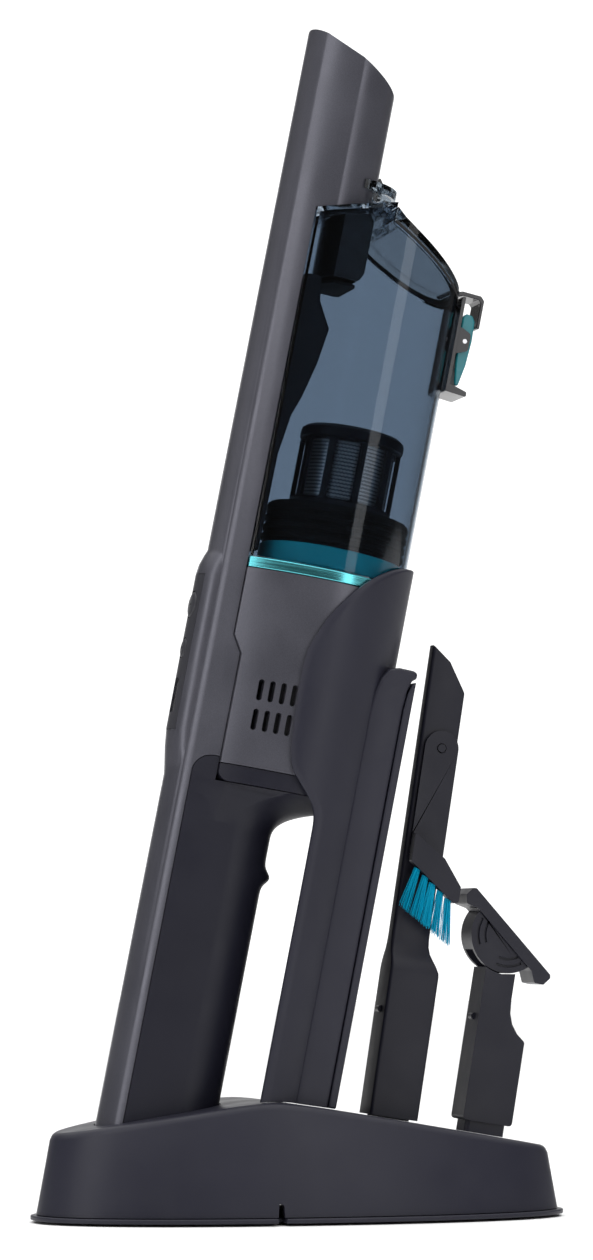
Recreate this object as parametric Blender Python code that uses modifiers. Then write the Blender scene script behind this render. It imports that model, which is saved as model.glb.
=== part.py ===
"""Cordless handheld vacuum docked in its charging stand, with two clip-on nozzles.

Everything is drawn in millimetres and turned into metres as it is made.  Four frames are used:
  stand        the world frame: X along the base, Y from front to back, Z up, origin under the base
  vacuum axis  leans to +X; a point is (d, y, h), d from the back of the machine, h up its length
  crevice axis, nozzle axis   the same idea for the two nozzles on their posts
Each piece is one object with its own material, parented to the empty of its frame.
"""

import math

import bmesh
import bpy
from mathutils import Matrix, Vector

MM = 0.001
GAP = 0.3  # clearance between pieces that touch
ROUND = 48  # sides of a large cylinder

# The frames: where each leaning axis meets the floor, and how far it leans.
VACUUM_X, VACUUM_LEAN = -87.3, 11.2
CREVICE_X, CREVICE_LEAN = 29.0, 8.9
NOZZLE_X, NOZZLE_LEAN = 66.4, 9.4

# Vacuum: the inlet tube, and the drum shared by the motor housing, the trim ring and the dust cup.
TUBE_D, TUBE_R, TUBE_WALL = 19.4, 18.8, 1.9
CREASE_ANGLE = 41.0  # half the angle of the rounded back, where its two flats begin
DRUM_D, DRUM_R, DRUM_WALL = 48.2, 30.1, 1.8
H_FOOT, H_CAP_TOP = 20.0, 24.0
H_GRIP_TOP = 172.6
H_COVER = (172.9, 179.2)
H_MOTOR = (179.5, 254.6)
H_RING = (254.9, 258.9)
H_CUP = 259.3
H_MOUTH_BACK, H_MOUTH_FRONT = 468.3, 448.6
MOUTH_SLOPE = (H_MOUTH_BACK - H_MOUTH_FRONT) / (2 * TUBE_R)
# The drum's cheeks: shallow arcs that leave its circle at CHEEK_ANGLE and run back to the spine's seam.
CHEEK_R, CHEEK_ANGLE = 76.0, 100.0
SEAM_D, SEAM_D_LOW = 13.0, 16.6  # the seam steps forward beside the vents
H_SEAM_STEP = (221.6, 230.2)
SPINE_STRIP_D = 7.4  # the spine's front face along the handle

# Grip: a D-shaped section that flares into the drum's circle under the motor.
GRIP_D, GRIP_R = 28.9, 16.5

# Dust cup: its roof under the tube rises to the hinge, and its mouth slopes down from it.
HINGE_D, HINGE_H = 41.0, 404.6
H_ROOF_LOW, ROOF_SLOPE = 398.0, 0.235
H_RIM_AT_HINGE, RIM_SLOPE = 398.4, -0.575
LID_THICKNESS = 5.0

# Base: a rounded oval with sloping walls and a gently ridged roof.
BASE_A, BASE_B, BASE_POWER = 104.0, 43.5, 2.2
FLANGE = 2.2
END_TAPER, SIDE_TAPER = 0.185, 0.13
RIDGE_X, RIDGE_Z, ROOF_FALL = -19.0, 45.2, 0.172
BASE_WALL = 2.4

# Cradle arm: half-pipe radii.  Its back wing is cut away below the motor so that fingers reach the grip.
ARM_IN, ARM_OUT = 30.9, 32.9
H_ARM_FOOT = 50.0
# (height, how far the front wing and the back wing reach round the drum in degrees)
WING = ((50.0, 80, 42), (110, 80, 42), (158, 80, 42), (166, 81, 42), (171, 85.5, 42), (177, 95, 45),
        (181, 101, 54), (184, 103.5, 66), (187.5, 105, 82), (192, 106, 96), (200, 107, 107),
        (212, 108, 108), (221, 108, 108), (228, 106.5, 106.5), (234, 102.5, 102.5), (241, 97, 97),
        (250, 86, 86), (256.3, 76, 76),
        (261, 65, 65), (264.5, 53, 53), (266.7, 40, 40), (267.8, 26, 26))
RIB_Y = 26.0
RIB_TOP = 228.5


# ------------------------------------------------------------------ scene and helpers

def clear_scene():
    for obj in list(bpy.data.objects):
        bpy.data.objects.remove(obj, do_unlink=True)


def new_collection(name):
    collection = bpy.data.collections.new(name)
    bpy.context.scene.collection.children.link(collection)
    return collection


def make_frame(name, x, lean):
    """An empty on the floor at x, leaning to +X: its local Z runs up the leaning axis."""
    empty = bpy.data.objects.new(name, None)
    empty.location = (x * MM, 0.0, 0.0)
    empty.rotation_euler = (0.0, math.radians(lean), 0.0)
    PARTS.objects.link(empty)
    return empty


def make_material(name, colour, roughness, metallic=0.0, alpha=1.0):
    material = bpy.data.materials.new(name)
    material.use_nodes = True
    shader = material.node_tree.nodes["Principled BSDF"]
    shader.inputs["Base Color"].default_value = (*colour, 1.0)
    shader.inputs["Roughness"].default_value = roughness
    shader.inputs["Metallic"].default_value = metallic
    shader.inputs["Alpha"].default_value = alpha
    return material


clear_scene()
PARTS = new_collection("handheld_vacuum")
CUTTERS = new_collection("cutters")
VACUUM = make_frame("vacuum_axis", VACUUM_X, VACUUM_LEAN)
CREVICE = make_frame("crevice_axis", CREVICE_X, CREVICE_LEAN)
NOZZLE = make_frame("nozzle_axis", NOZZLE_X, NOZZLE_LEAN)
STAND = make_frame("stand_frame", 0.0, 0.0)

GUNMETAL = make_material("gunmetal_plastic", (0.105, 0.103, 0.12), 0.38, 0.25)
CHARCOAL = make_material("charcoal_plastic", (0.035, 0.036, 0.044), 0.45)
BLACK = make_material("black_plastic", (0.02, 0.02, 0.025), 0.5)
GRIP = make_material("soft_grip", (0.018, 0.018, 0.022), 0.65)
RUBBER = make_material("rubber", (0.02, 0.02, 0.02), 0.8)
SMOKE = make_material("smoke_polycarbonate", (0.12, 0.17, 0.21), 0.08, 0.0, 0.45)
TEAL = make_material("teal_plastic", (0.02, 0.14, 0.17), 0.35)
TEAL_METAL = make_material("teal_anodised", (0.08, 0.42, 0.47), 0.28, 0.9)
STEEL = make_material("steel", (0.55, 0.55, 0.57), 0.3, 1.0)
BRASS = make_material("brass", (0.7, 0.5, 0.2), 0.3, 1.0)
BRISTLE = make_material("blue_bristle", (0.0, 0.3, 0.5), 0.6)
PAPER = make_material("filter_paper", (0.8, 0.8, 0.76), 0.9)
BOARD = make_material("circuit_board", (0.02, 0.2, 0.08), 0.5)
CELL = make_material("cell_sleeve", (0.1, 0.25, 0.5), 0.4)


def put(name, bm, frame, material):
    """Turn a shape drawn in millimetres into a named piece in its frame."""
    bmesh.ops.recalc_face_normals(bm, faces=bm.faces)
    bmesh.ops.scale(bm, vec=(MM, MM, MM), verts=bm.verts)
    mesh = bpy.data.meshes.new(name)
    bm.to_mesh(mesh)
    bm.free()
    obj = bpy.data.objects.new(name, mesh)
    obj.parent = frame
    if material is None:
        obj.hide_render = True
        obj.display_type = "WIRE"
        CUTTERS.objects.link(obj)
    else:
        mesh.materials.append(material)
        mesh.shade_smooth()
        mesh.set_sharp_from_angle(angle=math.radians(30))
        PARTS.objects.link(obj)
    return obj


def tool(bm, frame):
    """A cutter or a shape to be joined: drawn in wire and left out of the model."""
    return put("cutter", bm, frame, None)


def boolean(obj, operation, *others):
    for other in others:
        modifier = obj.modifiers.new(operation.lower(), "BOOLEAN")
        modifier.operation = operation
        modifier.solver = "EXACT"
        modifier.object = other
    return obj


def cut(obj, *cutters):
    return boolean(obj, "DIFFERENCE", *cutters)


def join(obj, *others):
    return boolean(obj, "UNION", *others)


def common(obj, *others):
    return boolean(obj, "INTERSECT", *others)


def round_edges(obj, width, angle=35, segments=2):
    modifier = obj.modifiers.new("rounding", "BEVEL")
    modifier.width = width * MM
    modifier.segments = segments
    modifier.limit_method = "ANGLE"
    modifier.angle_limit = math.radians(angle)
    return obj


# ------------------------------------------------------------------ shapes, in millimetres

def on_plane(u, v, w, axis):
    """A point of a flat outline (u, v) at the distance w along the axis it is extruded on."""
    return {"h": (u, v, w), "y": (u, w, v), "d": (w, u, v)}[axis]


def extrude(outline, start, end, axis="h"):
    bm = bmesh.new()
    face = bm.faces.new([bm.verts.new(on_plane(u, v, start, axis)) for u, v in outline])
    grown = bmesh.ops.extrude_face_region(bm, geom=[face])
    moved = [item for item in grown["geom"] if isinstance(item, bmesh.types.BMVert)]
    step = Vector(on_plane(0, 0, end - start, axis))
    bmesh.ops.translate(bm, vec=step, verts=moved)
    return bm


def box(low, high):
    bm = bmesh.new()
    bmesh.ops.create_cube(bm, size=1.0)
    low, high = Vector(low), Vector(high)
    bmesh.ops.scale(bm, vec=high - low, verts=bm.verts)
    bmesh.ops.translate(bm, vec=(low + high) / 2, verts=bm.verts)
    return bm


def cylinder(radius, start, end, centre=(0.0, 0.0), axis="h", sides=ROUND, tip=None):
    """A cylinder, or with tip a cone, about a centre (u, v) on the plane across the axis."""
    turn = {"h": Matrix(), "y": Matrix.Rotation(math.radians(-90), 4, "X"),
            "d": Matrix.Rotation(math.radians(90), 4, "Y")}[axis]
    bm = bmesh.new()
    bmesh.ops.create_cone(bm, cap_ends=True, segments=sides, radius1=radius,
                          radius2=radius if tip is None else tip, depth=end - start, matrix=turn)
    middle = (start + end) / 2
    bmesh.ops.translate(bm, vec=on_plane(*centre, middle, axis), verts=bm.verts)
    return bm


def loft(rings):
    """A closed skin through rings of equal length, capped at both ends."""
    bm = bmesh.new()
    rows = [[bm.verts.new(point) for point in ring] for ring in rings]
    count = len(rows[0])
    for lower, upper in zip(rows, rows[1:]):
        for i in range(count):
            j = (i + 1) % count
            bm.faces.new((lower[i], lower[j], upper[j], upper[i]))
    bm.faces.new(rows[0])
    bm.faces.new(rows[-1])
    return bm


def turned(name, profile, frame, material, centre, sides=ROUND):
    """A profile (r, h), down its outer side and up its inner side, turned about a local axis."""
    bm = bmesh.new()
    verts = [bm.verts.new((r, 0.0, h)) for r, h in profile]
    for first, second in zip(verts, verts[1:] + verts[:1]):
        bm.edges.new((first, second))
    obj = put(name, bm, frame, material)
    obj.location = (centre[0] * MM, centre[1] * MM, 0.0)
    screw = obj.modifiers.new("turn", "SCREW")
    screw.steps = screw.render_steps = sides
    screw.use_merge_vertices = True
    screw.merge_threshold = 0.00001
    screw.use_smooth_shade = True
    return obj


def ring(name, outer, inner, start, end, frame, material, centre, sides=ROUND):
    profile = ((outer, end), (outer, start), (inner, start), (inner, end))
    return turned(name, profile, frame, material, centre, sides)


def arc(centre, radius, first, last, steps):
    """Points on a circle, angles in degrees measured from +u towards +v."""
    angles = [math.radians(first + (last - first) * i / steps) for i in range(steps + 1)]
    return [(centre[0] + radius * math.cos(a), centre[1] + radius * math.sin(a)) for a in angles]


def rounded_rectangle(u0, u1, v0, v1, radius, steps=3):
    corners = ((u1 - radius, v1 - radius, 0), (u0 + radius, v1 - radius, 90),
               (u0 + radius, v0 + radius, 180), (u1 - radius, v0 + radius, 270))
    points = []
    for u, v, start in corners:
        points += arc((u, v), radius, start, start + 90, steps)
    return points


def slot(u, v0, v1, width, steps=2):
    """A straight slot with round ends, along v."""
    half = width / 2
    return (arc((u, v1 - half), half, 0, 180, steps) + arc((u, v0 + half), half, 180, 360, steps))


# ------------------------------------------------------------------ vacuum: spine and tube

def spine_section(offset=0.0, front=None):
    """The spine's outline (d, y): a rounded back, two flats and, up at the tube, a round front."""
    radius = TUBE_R + offset
    centre = (TUBE_D, 0.0)
    back = arc(centre, radius, 180 - CREASE_ANGLE, 180 + CREASE_ANGLE, 8)
    if front is None:
        return back + arc(centre, radius, 270, 450, 20)
    crease_d, crease_y = back[-1]
    reach = (front - crease_d) / (TUBE_D - crease_d)
    side_y = -crease_y + reach * (radius + crease_y)
    return back + [(front, -side_y), (front, side_y)]


def drum_section(offset=0.0, seam=SEAM_D):
    """The drum's circle and its two cheeks, closed by a flat at the seam."""
    turn = math.radians(180 - CHEEK_ANGLE)
    u = DRUM_D + (CHEEK_R - DRUM_R) * math.cos(turn)
    v = (CHEEK_R - DRUM_R) * math.sin(turn)
    radius = CHEEK_R + offset
    last = 180 - math.degrees(math.acos((u - seam) / radius))
    front = arc((DRUM_D, 0), DRUM_R + offset, -CHEEK_ANGLE, CHEEK_ANGLE, 34)
    cheek = arc((u, -v), radius, CHEEK_ANGLE, last, 5)[1:]
    return front + cheek + [(d, -y) for d, y in reversed(cheek)]


def drum_block(offset, start, end, gap=0.0):
    """The drum between two heights, with the step in its seam; gap moves the seam back."""
    low, high = H_SEAM_STEP
    block = tool(extrude(drum_section(offset, SEAM_D - gap), start, end), VACUUM)
    top = max(end, high) + 1
    side = [(90, start - 1), (90, top), (SEAM_D - gap - 1, top), (SEAM_D - gap - 1, high),
            (SEAM_D_LOW - gap, low), (SEAM_D_LOW - gap, start - 1)]
    if start < low:
        common(block, tool(extrude(side, -40, 40, "y"), VACUUM))
    return block


def roof_height(d):
    return H_ROOF_LOW + (d - 18.0) * ROOF_SLOPE


def rim_height(d):
    return H_RIM_AT_HINGE + (d - HINGE_D) * RIM_SLOPE


def pod_ring(h, proud):
    """The control pod's swelling on the back, as one ring that dips inside the spine."""
    steps = 12
    outer = []
    for i in range(steps + 1):
        t = 2 * i / steps - 1
        angle = math.radians(180 + t * (CREASE_ANGLE - 2))
        radius = TUBE_R - 0.6 + (proud + 0.6) * (1 - t ** 4)
        outer.append((TUBE_D + radius * math.cos(angle), radius * math.sin(angle), h))
    return outer + [(TUBE_D - TUBE_R + 8.0, outer[-1][1], h), (TUBE_D - TUBE_R + 8.0, outer[0][1], h)]


POD_RINGS = [pod_ring(h, proud) for h, proud in ((170, -0.4), (190, 2.5), (252, 2.7), (261, -0.4))]


def make_spine():
    """One shell from the handle's foot to the tube's mouth, cut round the drum and the grip."""
    spine = put("spine_shell", extrude(spine_section(), H_CAP_TOP + GAP, 480), VACUUM, GUNMETAL)
    join(spine, tool(loft(POD_RINGS), VACUUM))

    mouth = extrude([(-8, H_MOUTH_BACK + 4.6), (60, H_MOUTH_BACK + 4.6 - 68 * MOUTH_SLOPE), (60, 500),
                     (-8, 500)], -30, 30, "y")
    bore = cylinder(TUBE_R - TUBE_WALL, 402, 500, (TUBE_D, 0))
    pocket = drum_block(0.45, H_GRIP_TOP, 440, GAP)
    under_roof = [(-10, 150), (90, 150), (90, roof_height(90) + 0.4), (-10, roof_height(-10) + 0.4)]
    common(pocket, tool(extrude(under_roof, -40, 40, "y"), VACUUM))
    handle = extrude([(SPINE_STRIP_D, 0), (60, 0), (60, H_GRIP_TOP + 2.3), (SPINE_STRIP_D, H_GRIP_TOP + 2.3)],
                     -30, 30, "y")
    corner = extrude([(SPINE_STRIP_D, 165), (30, 165), (30, 181.8)] + arc((14.3, 174.9), 6.9, 90, 180, 5),
                     -30, 30, "y")
    inlet = cylinder(7.2, 385, 420, (28.4, 0), sides=24)
    hollow = extrude(spine_section(-2.4, 14.2), 186, 392)
    channel = extrude(spine_section(-2.4, SPINE_STRIP_D + 5), 10, 187)
    shapes = (mouth, bore, handle, corner, hollow, channel, inlet)
    cut(spine, pocket, *[tool(shape, VACUUM) for shape in shapes])

    recess = tool(box((-6, -7.3, 189), (1.8, 7.3, 250)), VACUUM)
    cut(spine, recess)
    holes = [tool(cylinder(r, -6, 8, (0, h), "d", 24), VACUUM) for r, h in ((5.4, 238), (4.2, 221))]
    cut(spine, *holes)
    return spine


def make_control_pod():
    panel = put("control_panel", box((-6.0, -7.0, 189.3), (1.5, 7.0, 249.7)), VACUUM, BLACK)
    common(panel, tool(loft(POD_RINGS), VACUUM))
    cut(panel, *[tool(cylinder(r, -6, 8, (0, h), "d", 24), VACUUM) for r, h in ((5.4, 238), (4.2, 221))])
    cut(panel, tool(extrude(rounded_rectangle(-3.3, 3.3, 195.7, 209.3, 1.5), -4, 3, "d"), VACUUM))
    for name, radius, h in (("power_button", 5.1, 238), ("mode_button", 3.9, 221)):
        button = put(name, cylinder(radius, -2.4, 1.2, (0, h), "d", 24), VACUUM, BLACK)
        round_edges(button, 0.5, 35, 1)
    window = extrude(rounded_rectangle(-3.0, 3.0, 196, 209, 1.3), -1.2, -0.1, "d")
    put("battery_indicator", window, VACUUM, SMOKE)
    put("control_board", box((5.6, -6.0, 192), (7.2, 6.0, 247)), VACUUM, BOARD)
    put("cup_catch", extrude([(TUBE_D + TUBE_R + GAP, 408.2), (40.6, 408.2), (41.0, 414.5),
                              (TUBE_D + TUBE_R + GAP, 418.2)], -2.0, 2.0, "y"), VACUUM, BLACK)


# ------------------------------------------------------------------ vacuum: handle

def grip_ring(h, flare, bump=0.0):
    """The grip's section at h: flare 0 is the D-shaped handle, 1 the full circle of the drum."""
    d = GRIP_D + (DRUM_D - GRIP_D) * flare
    radius = GRIP_R + (DRUM_R - 0.5 - GRIP_R) * flare
    front = arc((d, 0), radius, -100, 100, 20)
    front = [(u + bump * max(0.0, math.cos(math.atan2(v, u - d))) ** 4, v) for u, v in front]
    back = [(SPINE_STRIP_D + GAP, 13.2), (SPINE_STRIP_D + GAP, -13.2)]
    return [(u, v, h) for u, v in front + back]


def make_grip():
    front = ((134.5, 0, 0), (137.9, 0, 1.4), (141.4, 0, 2.8), (144, 0, 1.3), (148.5, 0, 0),
             (157, 0.015, 0), (162, 0.09, 0), (166, 0.28, 0), (169, 0.52, 0), (171, 0.76, 0),
             (H_GRIP_TOP, 1.0, 0))
    rings = [grip_ring(H_CAP_TOP + GAP, 0)] + [grip_ring(h, flare, bump) for h, flare, bump in front]
    grip = put("grip", loft(rings), VACUUM, GRIP)
    shoulder = tool(loft([[(d, y, h) for d, y in spine_section(offset)]
                          for offset, h in ((-4.6, 156), (-0.3, 171), (-0.1, 174), (-0.1, 190))]), VACUUM)
    corner = [(SPINE_STRIP_D + GAP, 150)] + arc((14.3, 174.9), 6.6, 180, 90, 5) + [(30, 181.5), (30, 150)]
    common(shoulder, tool(extrude(corner, -30, 30, "y"), VACUUM))
    cut(shoulder, drum_block(0.45, H_GRIP_TOP, 200, GAP))
    cut(shoulder, tool(extrude(spine_section(-2.4, 14.2), 100, 200), VACUUM))
    join(grip, shoulder)
    inner = arc((GRIP_D, 0), GRIP_R - 2.4, -90, 90, 12) + [(12.6, GRIP_R - 2.9), (12.6, -GRIP_R + 2.9)]
    cut(grip, tool(extrude(inner, 10, 158.4), VACUUM))
    return grip


def make_handle_parts():
    cap = put("handle_end_cap", extrude(handle_outline(0), H_FOOT, H_CAP_TOP), VACUUM, BLACK)
    round_edges(cap, 0.8)
    cut(cap, *[tool(box((d - 2.4, -3.4, H_FOOT - 1), (d + 2.4, 3.4, H_FOOT + 1.5)), VACUUM)
               for d in (20, 32)])
    for index, d in enumerate((20, 32)):
        plate = box((d - 2.0, -3.0, H_FOOT + 0.1), (d + 2.0, 3.0, H_FOOT + 1.2))
        put(f"charge_contact_{index + 1}", plate, VACUUM, BRASS)
    for index, h in enumerate((26.5, 92.6)):
        cell = put(f"battery_cell_{index + 1}", cylinder(9.2, h, h + 65, (27.5, 0), sides=24), VACUUM, CELL)
        round_edges(cell, 0.8)


# ------------------------------------------------------------------ vacuum: motor

def make_motor_housing():
    low, high = H_MOTOR
    housing = put("motor_housing", extrude(drum_section(), low, high), VACUUM, GUNMETAL)
    common(housing, drum_block(1.0, low - 1, high + 1))
    cut(housing, tool(cylinder(DRUM_R - 2.2, low - 1, high - 3.0, (DRUM_D, 0), sides=64), VACUUM),
        tool(cylinder(21.0, high - 4.0, high + 1, (DRUM_D, 0), sides=64), VACUUM))
    slots = []
    for side in (-1, 1):
        low, high = sorted((12 * side, 40 * side))
        for row in (193.4, 204.8):
            for column in range(5):
                vent = slot(25.2 + 4.07 * column, row, row + 8.2, 2.0)
                slots.append(tool(extrude(vent, low, high, "y"), VACUUM))
    cut(housing, *slots)
    cover = put("motor_cover", extrude(drum_section(-0.5, SEAM_D_LOW), *H_COVER), VACUUM, BLACK)
    cut(cover, tool(cylinder(8.0, H_COVER[0] + 2, 190, (DRUM_D, 0), sides=24), VACUUM))
    trim = put("trim_ring", extrude(drum_section(), *H_RING), VACUUM, TEAL_METAL)
    cut(trim, tool(cylinder(DRUM_R - 3.0, H_RING[0] - 1, H_RING[1] + 1, (DRUM_D, 0), sides=64), VACUUM))
    return housing


def make_motor():
    axis = (DRUM_D, 0)
    ring("motor_can", 17.0, 2.3, 190, 230, VACUUM, STEEL, axis, 32)
    ring("motor_mount", 27.4, 17.3, 223, 229, VACUUM, RUBBER, axis, 32)
    put("motor_shaft", cylinder(1.7, 184, 246.5, axis, sides=16), VACUUM, STEEL)
    impeller = ring("impeller", 22.0, 2.0, 234, 235.8, VACUUM, STEEL, axis, 32)
    hub = ring("cutter", 6.0, 2.0, 234.2, 245.5, VACUUM, None, axis, 24)
    join(impeller, hub)
    for blade in range(7):
        shape = box((5.2, -0.7, 235), (20.5, 0.7, 244))
        turn = Matrix.Rotation(math.radians(360 / 7 * blade), 3, "Z")
        bmesh.ops.rotate(shape, cent=(5.2, 0, 0), matrix=Matrix.Rotation(math.radians(28), 3, "Z"),
                         verts=shape.verts)
        bmesh.ops.rotate(shape, cent=(0, 0, 0), matrix=turn, verts=shape.verts)
        join(impeller, tool(shape, impeller))


# ------------------------------------------------------------------ vacuum: filter

def make_filter():
    axis = (DRUM_D, 0)
    ring("filter_base", 27.7, 15.0, 259.7, 267.8, VACUUM, TEAL_METAL, axis, 48)
    seal = [(27.2, 280.0)]
    for index in range(2):
        top = 278.0 - 4.6 * index
        seal += [(27.9, top), (27.9, top - 1.8), (26.6, top - 2.4), (26.6, top - 3.2)]
    seal += [(27.0, 268.1), (16.0, 268.1), (16.0, 280.0)]
    turned("filter_seal", seal, VACUUM, RUBBER, axis, 36)
    cage_profile = ((0.0, 318.0), (10.4, 318.0), (11.4, 316.9), (18.6, 316.6), (19.8, 315.0),
                    (19.8, 311.4), (19.6, 311.0), (19.6, 286),
                    (21.5, 283.5), (23.0, 280.3), (17.6, 280.3), (17.6, 312.5), (0.0, 312.5))
    cage = turned("filter_cage", cage_profile, VACUUM, BLACK, axis, 36)
    windows = []
    for index in range(10):
        shape = box((14, -4.6, 286.5), (24, 4.6, 310.6))
        bmesh.ops.rotate(shape, cent=(0, 0, 0), matrix=Matrix.Rotation(math.radians(36 * index), 3, "Z"),
                         verts=shape.verts)
        windows.append(tool(shape, cage))
    cut(cage, *windows)
    ring("filter_mesh", 17.3, 16.6, 280.6, 312.0, VACUUM, STEEL, axis, 40)
    pleats = []
    for index in range(40):
        radius = 15.6 if index % 2 else 13.0
        angle = math.radians(9 * index)
        pleats.append((DRUM_D + radius * math.cos(angle), radius * math.sin(angle)))
    put("filter_cartridge", extrude(pleats, 268.3, 309), VACUUM, PAPER)


# ------------------------------------------------------------------ vacuum: dust cup

def cup_profile(low, drop, side):
    """The cup's side view (d, h): the roof falls to the tube's side and the rim to the latch."""
    return [(DRUM_D - 40, low - 6), (DRUM_D + 40, low - 6), (DRUM_D + 40, rim_height(DRUM_D + 40) + side),
            (HINGE_D, H_RIM_AT_HINGE + side), (HINGE_D, roof_height(HINGE_D) - drop),
            (DRUM_D - 40, roof_height(DRUM_D - 40) - drop)]


def make_cup():
    cup = put("dust_cup", extrude(drum_section(), H_CUP, 430), VACUUM, SMOKE)
    common(cup, tool(extrude(cup_profile(H_CUP, 0, 0), -40, 40, "y"), VACUUM))
    room = tool(extrude(drum_section(-DRUM_WALL, SEAM_D + 1.6), H_CUP - 3, 430), VACUUM)
    common(room, tool(extrude(cup_profile(H_CUP - 3, 1.8, 6), -40, 40, "y"), VACUUM))
    cut(cup, room)
    cut(cup, tool(cylinder(7.2, 385, 420, (28.4, 0), sides=24), VACUUM))
    # ears that hold the hinge pin, either side of the lid's knuckle
    for side in (-1, 1):
        ear = extrude([(36.6, 400.5), (40.6, 400.5), (43.2, 403.0), (43.2, 405.6), (42.2, 406.6),
                       (39.8, 406.6), (36.6, 403.8)], 9.4 * side, 12.4 * side, "y")
        join(cup, tool(ear, VACUUM))
    cut(cup, tool(cylinder(1.2, -20, 20, (HINGE_D, HINGE_H), "y", 16), VACUUM),
        tool(cylinder(2.3, -9.4, 9.4, (HINGE_D, HINGE_H), "y", 16), VACUUM))

    duct = put("inlet_duct", cylinder(11.2, 370, 410, (31.9, 0), sides=32), VACUUM, BLACK)
    under_roof = [(10, 360), (50, 360), (50, roof_height(50) - 2.2), (10, roof_height(10) - 2.2)]
    common(duct, tool(extrude(under_roof, -30, 30, "y"), VACUUM))
    cut(duct, tool(cylinder(9.9, 360, 420, (31.9, 0), sides=32), VACUUM))
    cut(duct, tool(box((36, -20, 392.5), (50, 20, 420)), VACUUM))
    flap = put("inlet_flap", cylinder(10.4, 368.4, 369.6, (31.9, 0), sides=32), VACUUM, RUBBER)
    round_edges(flap, 0.3)


def make_lid():
    top = [(79.4, 381.2), (73.5, 384.4), (67, 388.0), (58.5, 392.8), (50, 397.7), (45, 400.7),
           (HINGE_D + 0.4, 402.5)]
    under = [(HINGE_D + 0.4, rim_height(HINGE_D + 0.4) + GAP), (79.4, rim_height(79.4) + GAP)]
    lid = put("cup_lid", cylinder(DRUM_R, 360, 430, (DRUM_D, 0), sides=64), VACUUM, SMOKE)
    common(lid, tool(extrude(under + top, -40, 40, "y"), VACUUM))
    hollow = tool(cylinder(DRUM_R - 3.0, 350, 430, (DRUM_D, 0), sides=48), VACUUM)
    ceiling = [(d, h - 1.9) for d, h in top[1:]]
    common(hollow, tool(extrude([(HINGE_D + 3.4, 365), (80, 365)] + ceiling[:-1]
                                + [(HINGE_D + 3.4, 400.6)], -40, 40, "y"), VACUUM))
    cut(lid, hollow)
    tongue = [(77.0, 381.2), (86.6, 380.4), (88.2, 378.8), (88.2, 367.4), (86.9, 367.4), (86.9, 377.6),
              (85.8, 378.6), (77.0, 379.2)]
    join(lid, tool(extrude(tongue, -6.5, 6.5, "y"), VACUUM))
    web = extrude([(41.8, 401.6), (45.0, 401.6), (45.0, 402.8), (42.8, 405.4), (41.8, 405.4)], -9, 9, "y")
    join(lid, tool(web, VACUUM), tool(cylinder(1.9, -9.0, 9.0, (HINGE_D, HINGE_H), "y", 20), VACUUM))
    cut(lid, tool(cylinder(1.2, -20, 20, (HINGE_D, HINGE_H), "y", 16), VACUUM))
    for side in (-1, 1):
        cut(lid, tool(extrude([(38, 395), (43.9, 395), (43.9, 412), (38, 412)], 9.1 * side, 12.8 * side, "y"),
                      VACUUM))
    put("lid_hinge_pin", cylinder(1.0, -12.2, 12.2, (HINGE_D, HINGE_H), "y", 16), VACUUM, STEEL)


def make_release_tab():
    """A crescent-shaped finger tab that hugs the front of the tube, on two legs."""
    tab = put("cup_release_tab", cylinder(16.4, 408.7, 412.4, (30.2, 0), sides=40), VACUUM, SMOKE)
    tube = cylinder(TUBE_R + 0.6, 400, 420, (TUBE_D, 0), sides=40)
    under = cylinder(14.8, 405, 410.9, (30.2, 0), sides=40)
    recess = tool(under, VACUUM)
    cut(recess, tool(cylinder(TUBE_R + 2.2, 400, 420, (TUBE_D, 0), sides=40), VACUUM))
    cut(tab, tool(tube, VACUUM), recess, tool(box((30, -2.8, 400), (41.8, 2.8, 420)), VACUUM))
    for side in (-1, 1):
        leg = box((34.2, 12.2, 404.2), (36.6, 14.4, 409.6))
        if side < 0:
            bmesh.ops.scale(leg, vec=(1, -1, 1), verts=leg.verts)
        join(tab, tool(leg, VACUUM))


def make_latch():
    bracket = [(78.8, 377.6), (80.2, 377.6), (80.2, 342.4), (87.2, 340.8), (87.2, 339.4), (78.8, 340.8)]
    base = put("latch_bracket", extrude(bracket, -8.8, 8.8, "y"), VACUUM, BLACK)
    for side in (-1, 1):
        ear = extrude([(79.0, 357.6), (84.4, 359), (84.4, 363), (79.0, 364.4)], 7.5 * side, 8.7 * side, "y")
        join(base, tool(ear, VACUUM))
    cut(base, tool(cylinder(1.2, -20, 20, (82.8, 361), "y", 16), VACUUM))
    outline = [(80.7, 370.6), (82.0, 372.2), (84.6, 371.8), (85.8, 369.6), (86.1, 362), (85.4, 352),
               (83.8, 343.6), (82.3, 343.6), (81.2, 352), (80.7, 361)]
    button = put("latch_button", extrude(outline, -7.2, 7.2, "y"), VACUUM, TEAL)
    round_edges(button, 0.5)
    cut(button, tool(cylinder(1.2, -20, 20, (82.8, 361), "y", 16), VACUUM))
    put("latch_pin", cylinder(0.9, -8.8, 8.8, (82.8, 361), "y", 16), VACUUM, STEEL)


# ------------------------------------------------------------------ stand: base

def roof_z(x):
    """The base's roof: two slopes that meet in a softly rounded ridge."""
    away = math.hypot(x - RIDGE_X, 9.0) - 9.0
    return RIDGE_Z - ROOF_FALL * away


def oval(inset, steps=48):
    """The base's outline, a superellipse, drawn in by inset."""
    points = []
    for i in range(steps):
        angle = 2 * math.pi * (i + 0.5) / steps
        c, s = math.cos(angle), math.sin(angle)
        x = (BASE_A - inset) * math.copysign(abs(c) ** (2 / BASE_POWER), c)
        y = (BASE_B - inset) * math.copysign(abs(s) ** (2 / BASE_POWER), s)
        points.append((x, y))
    return points


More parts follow.
